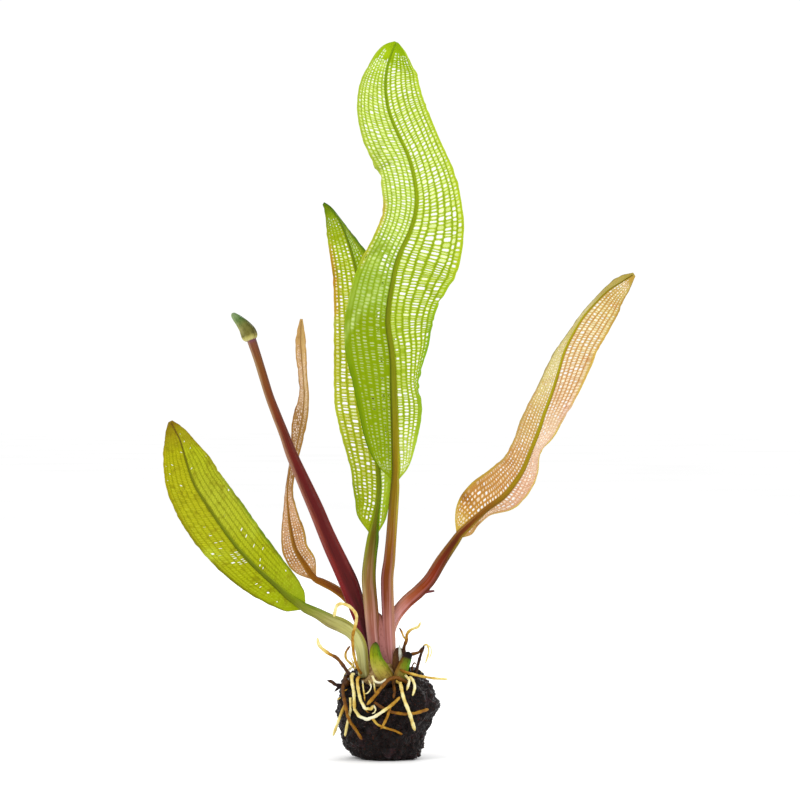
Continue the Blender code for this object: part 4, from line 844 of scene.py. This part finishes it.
def stock_finish():
    """Brown root stock, tan and pink-brown with dark scars on the left, sooted with peat on the right."""
    made, tree = blank_finish("root stock skin")
    patches = grain(tree, 320, 4)
    base = ramp(tree, patches, [
        (0.3, (104, 74, 42)), (0.42, (146, 112, 68)), (0.5, (188, 158, 108)), (0.6, (170, 140, 92)), (0.7, (116, 86, 54)),
    ])
    soot = ramp(tree, patches, [(0.35, (30, 24, 24)), (0.5, (54, 42, 38)), (0.62, (74, 58, 50)), (0.72, (40, 32, 30))])
    place = put(tree, "ShaderNodeSeparateXYZ", {0: put(tree, "ShaderNodeTexCoord").outputs["Object"]})
    shift = reckon(tree, "ADD", place.outputs[0], between(tree, patches, 0.3, 0.7, -0.0015, 0.0015))
    low = between(tree, place.outputs[2], 0.0325, 0.0295)
    base = mixed(tree, reckon(tree, "MULTIPLY", between(tree, shift, -0.0035, -0.0005), low), base, soot)
    scars = between(tree, grain(tree, 900, 2), 0.6, 0.66, 0.0, 0.75)
    base = mixed(tree, scars, base, (48, 34, 30))
    close_finish(tree, base, between(tree, patches, 0.3, 0.7, 0.45, 0.65), grain(tree, 1100, 5), 0.0004, gloss=0.18)
    return made


def peat_finish():
    """Wet black-brown peat: reddish flecks and crumbs, and painted purple-grey glints."""
    made, tree = blank_finish("wet peat")
    coarse, fine = grain(tree, 260, 4), grain(tree, 1500, 5)
    base = ramp(tree, coarse, [(0.3, (18, 10, 14)), (0.45, (38, 25, 28)), (0.55, (20, 12, 15)), (0.7, (60, 43, 46))])
    base = mixed(tree, between(tree, fine, 0.56, 0.7, 0.0, 0.6), base, (84, 46, 32))
    # Painted purple-grey glints: small pale specks standing in for highlights on the wet peat.
    base = mixed(tree, between(tree, grain(tree, 2400, 2), 0.68, 0.75, 0.0, 0.7), base, (124, 108, 114))
    place = put(tree, "ShaderNodeMapping", {
        "Vector": put(tree, "ShaderNodeTexCoord").outputs["Object"], "Scale": (1, 1, 0.55)})
    chunks = put(tree, "ShaderNodeTexVoronoi", {"Vector": place, "Scale": 520.0}, feature="F1").outputs["Distance"]
    height = reckon(tree, "SUBTRACT", reckon(tree, "ADD", fine, coarse), reckon(tree, "MULTIPLY", chunks, 0.9))
    rough = between(tree, fine, 0.35, 0.65, 0.3, 0.6)
    close_finish(tree, base, rough, height, 0.0009, gloss=0.14)
    return made


def floor_finish():
    made, tree = blank_finish("pale floor")
    base = ramp(tree, grain(tree, 3.0), [(0.3, (250, 250, 250)), (0.7, (255, 255, 255))], 1.0)
    close_finish(tree, base, between(tree, grain(tree, 6.0), 0.3, 0.7, 0.85, 0.95), grain(tree, 60), 0.000004, gloss=0.0)
    return made


def node_group(name, sockets):
    """Geometry tree with these inputs, one geometry output, and its two end nodes."""
    tree = bpy.data.node_groups.new(name, "GeometryNodeTree")
    tree.interface.new_socket("Geometry", in_out="OUTPUT", socket_type="NodeSocketGeometry")
    tree.interface.new_socket("Geometry", in_out="INPUT", socket_type="NodeSocketGeometry")
    for label, kind in sockets:
        tree.interface.new_socket(label, in_out="INPUT", socket_type="NodeSocket" + kind)
    return tree, put(tree, "NodeGroupInput"), put(tree, "NodeGroupOutput")


def end_tree(tree, start, stop, geometry):
    whole = put(tree, "GeometryNodeRealizeInstances", {"Geometry": geometry})
    smooth_all = put(tree, "GeometryNodeSetShadeSmooth", {"Geometry": whole})
    last = put(tree, "GeometryNodeSetMaterial", {"Geometry": smooth_all, "Material": start.outputs["Material"]})
    tree.links.new(last.outputs[0], stop.inputs[0])


def apply_tree(piece, tree, **values):
    """Adds the tree to the piece as a modifier with its inputs set."""
    added = piece.modifiers.new(tree.name, "NODES")
    added.node_group = tree
    for item in tree.interface.items_tree:
        if item.in_out == "INPUT" and item.name in values:
            added[item.identifier] = values[item.name]
    return added


def named(tree, name):
    return put(tree, "GeometryNodeInputNamedAttribute", {"Name": name}, data_type="FLOAT").outputs[0]


def lace_tree():
    """Rounds the holes of a blade and raises the veins between them a little toward the front."""
    tree, start, stop = node_group("Lace veins", [
        ("Roundness", "Int"), ("Crispness", "Float"), ("Vein relief", "Float"), ("Material", "Material")])
    rounded = put(tree, "GeometryNodeSubdivisionSurface", {
        "Mesh": start.outputs["Geometry"], "Level": start.outputs["Roundness"],
        "Vertex Crease": start.outputs["Crispness"]})
    raised = put(tree, "ShaderNodeMath", {0: named(tree, "vein"), 1: start.outputs["Vein relief"]}, operation="MULTIPLY")
    offset = put(tree, "ShaderNodeCombineXYZ", {
        1: put(tree, "ShaderNodeMath", {0: raised, 1: -1.0}, operation="MULTIPLY")})
    lifted = put(tree, "GeometryNodeSetPosition", {"Geometry": rounded, "Offset": offset})
    end_tree(tree, start, stop, lifted)
    return tree


def crumb_tree():
    """Scatters crumbs of peat over the lump and makes each of them irregular."""
    tree, start, stop = node_group("Peat crumbs", [
        ("Crumbs per square metre", "Float"), ("Crumb size", "Float"), ("Seed", "Int"), ("Material", "Material")])
    lump = start.outputs["Geometry"]
    normal = put(tree, "ShaderNodeSeparateXYZ", {0: put(tree, "GeometryNodeInputNormal")})
    place = put(tree, "ShaderNodeSeparateXYZ", {0: put(tree, "GeometryNodeInputPosition")})
    high = put(tree, "FunctionNodeCompare", {"A": place.outputs[2], "B": 0.0022}, operation="GREATER_THAN")
    outer = put(tree, "FunctionNodeCompare", {"A": named(tree, "outer"), "B": 0.5}, operation="GREATER_THAN")
    both = put(tree, "FunctionNodeBooleanMath", {0: high, 1: outer}, operation="AND")
    spread = put(tree, "GeometryNodeDistributePointsOnFaces", {
        "Mesh": lump, "Selection": both, "Density": start.outputs["Crumbs per square metre"],
        "Seed": start.outputs["Seed"]})
    ball = put(tree, "GeometryNodeMeshIcoSphere", {"Radius": start.outputs["Crumb size"], "Subdivisions": 1})
    wide = put(tree, "FunctionNodeRandomValue", {
        0: (0.35, 0.35, 0.25), 1: (1.5, 1.2, 0.8), "Seed": 3}, data_type="FLOAT_VECTOR")
    turned = put(tree, "FunctionNodeRandomValue", {
        0: (0.0, 0.0, 0.0), 1: (6.28, 6.28, 6.28), "Seed": 5}, data_type="FLOAT_VECTOR")
    crumbs = put(tree, "GeometryNodeInstanceOnPoints", {
        "Points": spread.outputs["Points"], "Instance": ball, "Rotation": turned.outputs[0], "Scale": wide.outputs[0]})
    single = put(tree, "GeometryNodeRealizeInstances", {"Geometry": crumbs})
    rough = put(tree, "ShaderNodeTexNoise", {
        "Vector": put(tree, "GeometryNodeInputPosition"), "Scale": 1400.0, "Detail": 2.0})
    centred = put(tree, "ShaderNodeVectorMath", {0: rough.outputs["Color"], 1: (0.5, 0.5, 0.5)}, operation="SUBTRACT")
    pushed = put(tree, "ShaderNodeVectorMath", {0: centred, "Scale": 0.0009}, operation="SCALE")
    uneven = put(tree, "GeometryNodeSetPosition", {"Geometry": single, "Offset": pushed.outputs[0]})
    joined = tree.nodes.new("GeometryNodeJoinGeometry")
    tree.links.new(lump, joined.inputs[0])
    tree.links.new(uneven.outputs[0], joined.inputs[0])
    end_tree(tree, start, stop, joined)
    return tree


# The plant's own pieces


def blade_points(shape, share, across):
    """Points in mm on the middle of a blade, at shares along it and places across it from -1 to 1."""
    fine = smooth(shape["blade"], 300)
    even = np.linspace(0, 1, len(fine))
    way = unit(np.gradient(fine[:, :3], axis=0))
    square = unit(np.cross(way, FRONT))
    row = np.column_stack([np.interp(share, even, column) for column in fine.T])
    side = unit(np.column_stack([np.interp(share, even, column) for column in square.T]))
    flat = np.minimum(1, 12 * share)
    t = flat * across + (1 - flat) * np.sin(across * np.pi / 2)
    left = t < 0
    edges = np.array(shape["edges"], float)
    stand = np.where(left, np.interp(share, edges[:, 0], edges[:, 1]), np.interp(share, edges[:, 0], edges[:, 2]))
    ruffle = shape["ruffle"]
    wave = np.where(left, ruffle[0], ruffle[1]) * np.sin(2 * np.pi * ruffle[2] * share + 1.3 * ~left)
    lift = flat * np.minimum(1, 6 * (1 - share)) * (stand * np.abs(t) ** 1.3 + wave * t * t)
    wide = np.where(left, row[:, 3], row[:, 4])
    return row[:, :3] + side * (t * wide)[:, None] + FRONT * lift[:, None]


def cell_of(lace, side, share, column, chance):
    """How a cell is perforated: the hole's size, whether it is open and how pale its skin is."""
    open_share, pale, size = 0.0, 0.0, 0.0
    for to_side, low, high, first, last, *found in lace["zones"]:
        if to_side in (0, side) and low <= share <= high and first <= column < last:
            open_share, pale, size = found
    if open_share < 0.25 and chance.random() < 0.12:
        return 0.0, False, 0.0
    clear = chance.random() < open_share
    size *= chance.uniform(0.72, 1.1) if clear else chance.uniform(0.55, 1.08)
    return size, clear, pale * chance.uniform(0.35, 1.1)


def blade(name, settings):
    """The two halves of a leaf's perforated sheet: columns of cells between veins that run from its base to its tip."""
    shape, lace = LEAVES[name], LACE[name]
    chance = random.Random("veins of " + name)
    veins, rows = lace["veins"], lace["rows"]
    wide_side, wide_veins = lace.get("low_veins", (None, veins))
    columns, levels = len(veins) - 1, 3 * rows
    strips = 2 * columns + 4                       # margin, columns and midrib on the left, then the same mirrored
    rungs = []
    for strip in range(strips):
        steps = (2, 3, 3, 3, 4) if 0 < min(strip, strips - 1 - strip) <= columns else (3,)
        at = [0]
        while at[-1] < levels - 5:
            at.append(at[-1] + chance.choice(steps))
        rungs.append(at + [levels])
    fine = smooth(shape["blade"], 300)
    even = np.linspace(0, 1, 300)
    length = np.linalg.norm(np.diff(fine[:, :3], axis=0), axis=1).sum()
    slants = np.array(lace["slant"])
    lines, share, across, column_at, vein = {}, [], [], [], []
    for line in range(strips + 1):
        part = line - strips // 2                  # 0 on the midrib, up to columns + 2 at the margin
        side, place = (0 if part < 0 else 1), abs(part) - 1
        used = set(rungs[line - 1] if line else []) | set(rungs[line] if line < strips else [])
        lines[line] = {}
        wander = [chance.uniform(-1, 1) for _ in range(3)]
        for level in sorted(used):
            s = level / levels
            wide = np.interp(s, even, fine[:, 3 + side])
            rib = min(0.6, 0.85 * np.interp(s, *zip(*lace["rib"])) / wide)
            rim = 1 - min(0.3, RIM / wide)
            if place < 0:
                t = 0.0
            elif place > columns:
                ragged = noise.noise(Vector((s * length / 2.2, 10 * side, 0))) * 0.3
                ragged += noise.noise(Vector((s * length / 0.8, 10 * side, 5))) * 0.14
                for at_side, at, deep in lace.get("notches", []):
                    ragged -= deep * np.exp(-((s - at) * length / 0.9) ** 2) * (at_side == side)
                t = 1 + ragged * min(1, 8 * s) / max(wide, 2)
            else:
                bend = 0.012 * (wander[0] * np.sin(9 * s) + wander[1] * np.sin(23 * s + 1) + wander[2] * np.sin(51 * s))
                at = veins[place]
                if side == wide_side:
                    at += (wide_veins[place] - at) * min(1.0, max(0.0, (0.32 - s) / 0.14))
                t = rib + (rim - rib) * min(1.0, max(0.0, at + (bend if 0 < place < columns else 0)))
            t *= -1 if part < 0 else 1
            fade = min(1, 8 * s) * min(1, 8 * (1 - s))
            lean = np.interp(s, slants[:, 0], slants[:, 1 + side]) * abs(t) * wide / length
            shake = chance.uniform(-0.12, 0.12) / rows if 0 < place <= columns else 0
            lines[line][level] = len(share)
            share.append(min(1, max(0, s + fade * (lean + shake))))
            across.append(t)
            column_at.append(min(max(place, 0), columns))
            crowded = ((rim - rib) * wide / columns - 0.4) / 0.8
            most = 0.4 if place < 0 or place > columns else 0.7 if place == columns else 1.0
            vein.append(min(most, max(0.45, crowded)))
    points = blade_points(shape, np.array(share), np.array(across))
    inner = []
    faces, pale, half_of = [], [], []
    for strip in range(strips):
        column = columns - min(strip, strips - 1 - strip)
        side = -1 if strip < strips // 2 else 1
        for low, high in zip(rungs[strip], rungs[strip][1:]):
            right = [(level, lines[strip + 1][level]) for level in sorted(lines[strip + 1]) if low <= level <= high]
            left = [(level, lines[strip][level]) for level in sorted(lines[strip]) if low <= level <= high]
            outline = [at for _, at in right] + [at for _, at in left[::-1]]
            corners = [left[0][1], right[0][1], left[-1][1], right[-1][1]]
            way = (points[corners[1]] + points[corners[3]] - points[corners[0]] - points[corners[2]]) / 2
            up = (points[corners[2]] + points[corners[3]] - points[corners[0]] - points[corners[1]]) / 2
            width = np.linalg.norm(way)
            tall = np.linalg.norm(np.cross(way, up)) / max(width, 1e-6)
            size, clear, is_pale = cell_of(lace, side, (low + high) / 2 / levels, column, chance)
            size *= settings.hole_size
            if not 0 <= column < columns or size < 0.05 or width < 0.42 or tall < 0.4:
                faces.append(outline)
                pale.append(0.0)
                half_of.append(side > 0)
                continue
            in_wide = min(0.9, size) * (1 - min(0.55, VEIN / width))
            in_tall = min(0.92, size) * (1 - min(0.6, RUNG / tall))
            ring = []
            for half, edge in ((0.5, right), (-0.5, left[::-1])):
                for level, _ in edge:
                    a = 0.5 + half * in_wide + chance.uniform(-0.03, 0.03)
                    b = 0.5 + ((level - low) / (high - low) - 0.5) * in_tall + chance.uniform(-0.03, 0.03)
                    weights = ((1 - a) * (1 - b), a * (1 - b), (1 - a) * b, a * b)
                    ring.append(len(points) + len(inner))
                    inner.append(sum(w * points[c] for w, c in zip(weights, corners)))
                    share.append(sum(w * share[c] for w, c in zip(weights, corners)))
                    across.append(sum(w * across[c] for w, c in zip(weights, corners)))
                    column_at.append(column + 0.5 + half * in_wide * 0.9)
                    vein.append(0.0)
            count = len(ring)
            for i in range(count):
                j = (i + 1) % count
                faces.append([outline[i], outline[j], ring[j], ring[i]])
                pale.append(is_pale)
                half_of.append(side > 0)
            if not clear:
                faces.append(ring)
                pale.append(is_pale)
                half_of.append(side > 0)
    points = np.vstack([points, np.array(inner)])
    s, t = np.array(share), np.array(across)
    # Painted light across creases and folds: a positive amount paints shade in a crease, a negative one paints sheen on
    # a fold.
    painted_fold_light = np.zeros(len(s))
    for side, at_rib, at_rim, wide, dark in lace["creases"]:
        off = (s - at_rib - (at_rim - at_rib) * np.abs(t)) / wide
        painted_fold_light += dark * np.exp(-off ** 2) * (t * side > 0) * np.minimum(1, 1.3 * np.abs(t))
    finish = blade_finish(name + " blade", BLADE_COLOURS[name])
    kept = {"vein": vein, "along": share, "across": across, "column": column_at, "painted_fold_light": painted_fold_light}
    tree = bpy.data.node_groups.get("Lace veins") or lace_tree()
    halves = []
    for half, label in enumerate(("_blade_left", "_blade_right")):
        chosen = [i for i, at in enumerate(half_of) if at == half]
        used = np.unique(np.concatenate([faces[i] for i in chosen]))
        new = np.zeros(len(points), int)
        new[used] = np.arange(len(used))
        stored_here = {key: np.array(values)[used] for key, values in kept.items()}
        stored_here["pale"] = [pale[i] for i in chosen]
        made = make(name + label, points[used], [new[faces[i]].tolist() for i in chosen], finish, stored_here)
        apply_tree(made, tree, **{
            "Roundness": 1, "Crispness": 0.35, "Vein relief": settings.vein_relief, "Material": finish})
        thick = made.modifiers.new("Thickness", "SOLIDIFY")
        thick.thickness = settings.blade_thickness
        thick.offset = 0.0
        halves.append(baked(made))
    return halves


def stalk(name):
    """A leaf's ridged stalk, which runs on along the blade as its midrib."""
    shape, rib = LEAVES[name], LACE[name]["rib"]
    rows, blade_rows = list(shape["stalk"]), np.array(shape["blade"])
    travelled = np.r_[0, np.cumsum(np.linalg.norm(np.diff(blade_rows[:, :3], axis=0), axis=1))]
    for s, row in zip(travelled / travelled[-1], blade_rows):
        half = np.interp(s, *zip(*rib))
        rows.append((*row[:3], half, 0.72 * half + 0.15))
    length = np.linalg.norm(np.diff(np.array(rows)[:, :3], axis=0), axis=1).sum()
    depth = [(0.0, 0.13), (0.3, 0.1), (0.5, 0.03), (1.0, 0.02)]
    return stem(name + "_stalk", rows, int(length / 0.9), 20, 5, depth, stem_finish(name))


def oval_ring(row, sides):
    """Angles and points of a ring at one height, reaching the row's left, right, front and back."""
    height, left, right, front, back = row
    turn = np.linspace(0, 2 * np.pi, sides, endpoint=False)
    x = (left + right) / 2 + (right - left) / 2 * np.cos(turn)
    y = np.where(np.sin(turn) < 0, -front, back) * np.sin(turn)
    return turn, np.column_stack([x, y, np.full(sides, float(height))])


def lump_height(height, forward):
    """Height of the lump's surface once its front rim is lowered; forward runs from 0 at the sides to 1 in front."""
    return height - FRONT_DROP * forward * np.clip((height - 22.0) / 10.0, 0, 1) ** 1.5


def rough(turn, height):
    """Inward dents of the peat, 0 to 1."""
    waves = (
        np.sin(3 * turn + 0.21 * height) + np.sin(5 * turn - 0.33 * height + 1.0)
        + np.sin(8 * turn + 0.55 * height + 2.1) + np.sin(13 * turn - 0.8 * height + 0.4)
    )
    return 0.5 + 0.125 * waves


def uneven(points, cell, deep, centre):
    """Moves points in mm to and from a centre line by layered noise of that cell size and depth."""
    moved = []
    for point in points:
        way = point - centre(point)
        way = way / max(np.linalg.norm(way), 1e-6)
        at = Vector(point / cell)
        amount = noise.noise(at) + 0.55 * noise.noise(at * 2.3) + 0.3 * noise.noise(at * 5.1)
        moved.append(point + way * deep * amount)
    return np.array(moved)


def clumped(points, layers, centre):
    """Points in mm drawn toward a centre line between clumps; layers are pairs of clump size and depth."""
    moved = []
    for point in points:
        way = point - centre(point)
        way = way / max(np.linalg.norm(way), 1e-6)
        amount = 0.0
        for size, deep in layers:
            at = Vector(point / size)
            at += 0.4 * noise.noise_vector(at * 1.6)
            amount += deep * (0.9 * noise.noise(at, noise_basis="VORONOI_F1") - 0.1)
        moved.append(point - way * amount)
    return np.array(moved)


def peat_lump(settings):
    sides = 288
    levels = [smooth(LUMP, 100), smooth([LUMP[-1]] + LUMP_WELL, 22)[1:]]
    points, outer = [], []
    for part, rows in enumerate(levels):
        for row in rows:
            turn, ring = oval_ring(row, sides)
            if part == 0:
                ring[:, :2] *= (1 - 0.055 * rough(turn, row[0]))[:, None]
            ring[:, 2] = lump_height(ring[:, 2], np.maximum(0, -np.sin(turn)))
            points.append(ring)
            outer += [float(part == 0)] * sides
    points = np.concatenate(points)
    flat = points[:, 2].copy()
    points = clumped(points, [(4.6, 1.2), (1.8, 0.6), (0.7, 0.16)], lambda p: np.array([0.0, 0.0, 0.5 * p[2] + 7.0]))
    points[:, 2] = np.where(flat < 1.0, flat, np.maximum(points[:, 2], 0.05))
    finish = peat_finish()
    made = make("peat", points, grid_faces(len(points) // sides, sides), finish, {"outer": outer})
    apply_tree(made, crumb_tree(), **{
        "Crumbs per square metre": settings.crumb_density, "Crumb size": settings.crumb_size, "Seed": 4,
        "Material": finish})
    return baked(made)


def on_lump(x, z, out, back):
    """Point at (x, z) that lies the given distance outside the front or the back of the lump."""
    rows = np.array(LUMP)
    reach = 1.0
    for _ in range(3):
        height = np.interp(z, lump_height(rows[:, 0], 0.0 if back else reach), rows[:, 0])
        left, right, front, rear = (np.interp(height, rows[:, 0], rows[:, i]) for i in range(1, 5))
        aside = np.clip((x - (left + right) / 2) / ((right - left) / 2), -0.95, 0.95)
        reach = np.sqrt(1 - aside ** 2)
    return (x, rear * reach + out, z) if back else (x, front * reach - out, z)


def root_points(start, end, pale, way, back, chance):
    """Points of one bumpy root ring after ring, its sides round, its tip tapered, and how pale each is."""
    out = 0.8 * max(start, end) + 0.1
    route = []
    for here, there in zip(way, way[1:] + [None]):
        route.append(on_lump(*here, out, back) if len(here) == 2 else here)
        if there and len(here) == len(there) == 2:
            route.append(on_lump(*[(a + b) / 2 for a, b in zip(here, there)], out, back))
    route = np.array(route, float)
    count = max(8, round(np.linalg.norm(np.diff(route, axis=0), axis=1).sum() / 0.45))
    line = smooth(route, count)
    along = np.linspace(0, 1, count)
    first, second = frames(line)
    turn = np.linspace(0, 2 * np.pi, 12, endpoint=False)
    phase = chance.uniform(0, 6)
    swell = 1 + 0.09 * np.sin(along * count * 0.45 * 1.7 + phase) + 0.06 * np.sin(along * count * 0.45 * 4.1 + phase)
    taper = np.sqrt(np.clip(1 - (1 - np.clip((1 - along) * count * 0.45 / 1.6, 0, 1)) ** 2, 0.06, 1))
    thick = (start + (end - start) * along) * swell * taper
    lumpy = 1 + 0.07 * np.cos(3 * turn[None, :] + 7 * along[:, None] + phase)
    ring = thick[:, None] * lumpy
    points = (
        line[:, None] + first[:, None] * (np.cos(turn) * ring)[..., None]
        + second[:, None] * (np.sin(turn) * ring)[..., None]
    )
    tone = np.interp(along, np.linspace(0, 1, len(pale)), pale)
    return points.reshape(-1, 3), np.repeat(tone, 12), count


def roots(name, table, finish, thicker=1.0):
    """All the roots of a table as one piece."""
    chance = random.Random(name)
    points, pale, faces, first = [], [], [], 0
    for key, (start, end, tones, way) in table.items():
        made, tone, count = root_points(start * thicker, end * thicker, tones, way, "back" in key, chance)
        faces += grid_faces(count, 12, first)
        points.append(made)
        pale.append(tone)
        first += len(made)
    return make(name, np.concatenate(points), faces, finish, {"pale": np.concatenate(pale)})


def root_stock():
    sides = 72
    rows = smooth(STOCK, 34)
    points = np.concatenate([oval_ring(row, sides)[1] for row in rows])
    points = uneven(points, 3.2, 0.45, lambda p: np.array([-1.0, 0.0, 28.0]))
    points = uneven(points, 0.9, 0.2, lambda p: np.array([-1.0, 0.0, 28.0]))
    return make("stock", points, grid_faces(len(rows), sides), stock_finish())


def facing_out(piece):
    """Turns the piece's faces outwards, whichever way its rings ran."""
    mesh = piece.data
    mesh.calc_loop_triangles()
    corners = np.empty(len(mesh.vertices) * 3)
    mesh.vertices.foreach_get("co", corners)
    corners = corners.reshape(-1, 3)
    order = np.empty(len(mesh.loop_triangles) * 3, np.int32)
    mesh.loop_triangles.foreach_get("vertices", order)
    if np.linalg.det(corners[order.reshape(-1, 3)]).sum() < 0:
        mesh.flip_normals()
    return piece


# What a user may change


class LacePlantLeaves(bpy.types.PropertyGroup):
    blade_thickness: FloatProperty(
        name="Blade thickness", description="Thickness of a leaf's sheet between its veins", default=0.00026,
        min=0.0001, max=0.0005, unit="LENGTH", precision=5)
    hole_size: FloatProperty(
        name="Hole size", description="How much of its cell each hole takes, as a factor", default=1.0, min=0.5,
        max=1.2, subtype="FACTOR")
    vein_relief: FloatProperty(
        name="Vein relief", description="How far the veins stand out of the sheet", default=0.00008, min=0.0,
        max=0.0003, unit="LENGTH", precision=5)


class LacePlantRoots(bpy.types.PropertyGroup):
    thicker: FloatProperty(
        name="Root thickness", description="Thickness of the roots, as a factor", default=0.86, min=0.7, max=1.2,
        subtype="FACTOR")


class LacePlantPeat(bpy.types.PropertyGroup):
    crumb_density: FloatProperty(
        name="Crumbs", description="Crumbs of peat on each square metre of the lump", default=260000.0, min=0.0)
    crumb_size: FloatProperty(
        name="Crumb size", description="Half the width of a middling crumb", default=0.0003, min=0.0001, max=0.001,
        unit="LENGTH", precision=5)


class LacePlantStage(bpy.types.PropertyGroup):
    backdrop: FloatVectorProperty(
        name="Backdrop", description="Colour of the plain light all round", default=(1.0, 1.0, 1.0), subtype="COLOR",
        min=0.0, max=1.0)
    brightness: FloatProperty(
        name="Brightness", description="Strength of the light all round", default=1.04, min=0.0, max=3.0)
    floor_radius: FloatProperty(
        name="Floor radius", description="Half the width of the round floor", default=12.0, min=1.0, unit="LENGTH")


# One step for each piece or group of like pieces


class LACEPLANT_OT_leaves(bpy.types.Operator):
    """Makes the five leaves, each a perforated blade on its ridged stalk"""
    bl_idname = "laceplant.leaves"
    bl_label = "Leaves"

    def execute(self, context):
        for name in LEAVES:
            for half in blade(name, context.scene.lace_leaves):
                dress(facing_out(half), name, name)
            dress(facing_out(stalk(name)), name, name)
        return {"FINISHED"}


class LACEPLANT_OT_flower(bpy.types.Operator):
    """Makes the maroon flower stalk and the closed bud on its end"""
    bl_idname = "laceplant.flower"
    bl_label = "Flower stalk and bud"

    def execute(self, context):
        made = stem("flower_stalk_skin", FLOWER_STALK, 170, 28, 6, [(0, 0.12), (1, 0.1)], stem_finish("flower_stalk", 0.15))
        dress(facing_out(made), "flower_stalk", "flower_stalk")
        made = stem("flower_bud_skin", BUD, 60, 36, 9, [(0, 0.12), (1, 0.12)], stem_finish("flower_bud"), 0.5)
        dress(facing_out(made), "flower_bud", "flower_bud")
        return {"FINISHED"}


class LACEPLANT_OT_shoots(bpy.types.Operator):
    """Makes the young green shoot, the second one with its black end, and the sheaths round the stalks' bases"""
    bl_idname = "laceplant.shoots"
    bl_label = "Young shoots"

    def execute(self, context):
        deep = [(0, 0.1), (1, 0.1)]
        made = stem("green_shoot_skin", GREEN_SHOOT, 46, 32, 7, deep, stem_finish("green_shoot"))
        dress(facing_out(made), "green_shoot", "green_shoot")
        made = stem("cut_shoot_skin", CUT_SHOOT, 34, 28, 6, deep, stem_finish("cut_shoot"))
        dress(facing_out(made), "cut_shoot", "cut_shoot")
        for name, rows, slot in (
            ("crown", CROWN, "root_stock"), ("stump", STUMP, "root_stock"), ("sheath", SHEATH, "root_stock"),
            ("spur", SPUR, "leaf_right"),
        ):
            dress(facing_out(stem(name + "_skin", rows, 40, 24, 5, [(0, 0.15), (1, 0.1)], stem_finish(name))), slot)
        return {"FINISHED"}


class LACEPLANT_OT_roots(bpy.types.Operator):
    """Makes the root stock, the roots and the finest rootlets"""
    bl_idname = "laceplant.roots"
    bl_label = "Root stock and roots"

    def execute(self, context):
        thicker = context.scene.lace_roots.thicker
        dress(facing_out(root_stock()), "root_stock", "root_stock")
        skin = root_finish()
        dress(facing_out(roots("root_skin", ROOTS, skin, thicker)), "roots", *ROOTS)
        few = {f"rootlet {i}": row for i, row in enumerate(ROOTLETS)}
        dress(facing_out(roots("rootlets", few, skin, thicker)), "roots")
        return {"FINISHED"}


class LACEPLANT_OT_peat(bpy.types.Operator):
    """Makes the crumbly lump of wet peat"""
    bl_idname = "laceplant.peat"
    bl_label = "Peat lump"

    def execute(self, context):
        dress(facing_out(peat_lump(context.scene.lace_peat)), "peat_lump", "peat_lump")
        return {"FINISHED"}


class LACEPLANT_OT_stage(bpy.types.Operator):
    """Makes the pale floor, the soft studio light and the camera"""
    bl_idname = "laceplant.stage"
    bl_label = "Floor, light and camera"

    def execute(self, context):
        wanted = context.scene.lace_stage
        turn = np.linspace(0, 2 * np.pi, 96, endpoint=False)
        rings = [np.column_stack([r * np.cos(turn), r * np.sin(turn), 0 * turn]) for r in (0.05, 1.0)]
        points = np.concatenate(rings) * wanted.floor_radius / MM
        faces = [(i, 96 + i, 96 + (i + 1) % 96, (i + 1) % 96) for i in range(96)] + [tuple(range(96))]
        floor = make("floor", points, faces, floor_finish())

        world = bpy.data.worlds.new("Studio light")
        world.use_nodes = True
        back = world.node_tree.nodes["Background"]
        back.inputs["Color"].default_value = (*wanted.backdrop, 1.0)
        back.inputs["Strength"].default_value = wanted.brightness
        context.scene.world = world

        for name, place, size, power in (
            ("Key light", (-0.75, -0.85, 0.95), 0.35, 6.0),
            ("Side light", (0.95, -0.35, 0.55), 0.3, 3.0),
            ("Back light", (0.25, 0.95, 0.75), 0.5, 4.0),
        ):
            lamp = bpy.data.lights.new(name, "AREA")
            lamp.size = size
            lamp.energy = power
            made = bpy.data.objects.new(name, lamp)
            made.location = place
            aim = Vector((0.0, 0.0, 0.12)) - Vector(place)
            made.rotation_euler = aim.to_track_quat("-Z", "Y").to_euler()
            context.scene.collection.objects.link(made)

        lens = bpy.data.cameras.new("Camera")
        lens.lens = 150.0
        lens.sensor_width = 36.0
        lens.clip_end = 60.0
        camera = bpy.data.objects.new("Camera", lens)
        camera.location = (0.00468, -1.2, 0.12888)
        camera.rotation_euler = (np.pi / 2, 0.0, 0.0)
        context.scene.collection.objects.link(camera)
        context.scene.camera = camera
        context.scene.view_settings.view_transform = "Standard"
        context.scene.view_settings.look = "None"
        return {"FINISHED"}


STEPS = (
    LACEPLANT_OT_leaves, LACEPLANT_OT_flower, LACEPLANT_OT_shoots, LACEPLANT_OT_roots, LACEPLANT_OT_peat,
    LACEPLANT_OT_stage,
)
SETTINGS = {
    "lace_leaves": LacePlantLeaves, "lace_roots": LacePlantRoots, "lace_peat": LacePlantPeat,
    "lace_stage": LacePlantStage,
}


class LACEPLANT_PT_panel(bpy.types.Panel):
    bl_label = "Madagascar lace plant"
    bl_space_type = "VIEW_3D"
    bl_region_type = "UI"
    bl_category = "Lace plant"

    def draw(self, context):
        for key, group in SETTINGS.items():
            box = self.layout.box()
            for field in group.__annotations__:
                box.prop(getattr(context.scene, key), field)
        for step in STEPS:
            self.layout.operator(step.bl_idname)


def register():
    for item in (*SETTINGS.values(), *STEPS, LACEPLANT_PT_panel):
        bpy.utils.register_class(item)
    for key, group in SETTINGS.items():
        setattr(bpy.types.Scene, key, PointerProperty(type=group))


def unregister():
    for key in SETTINGS:
        delattr(bpy.types.Scene, key)
    for item in reversed((*SETTINGS.values(), *STEPS, LACEPLANT_PT_panel)):
        bpy.utils.unregister_class(item)


def main():
    register()
    bpy.ops.laceplant.leaves()
    bpy.ops.laceplant.flower()
    bpy.ops.laceplant.shoots()
    bpy.ops.laceplant.roots()
    bpy.ops.laceplant.peat()
    bpy.ops.laceplant.stage()


if __name__ == "__main__":
    main()
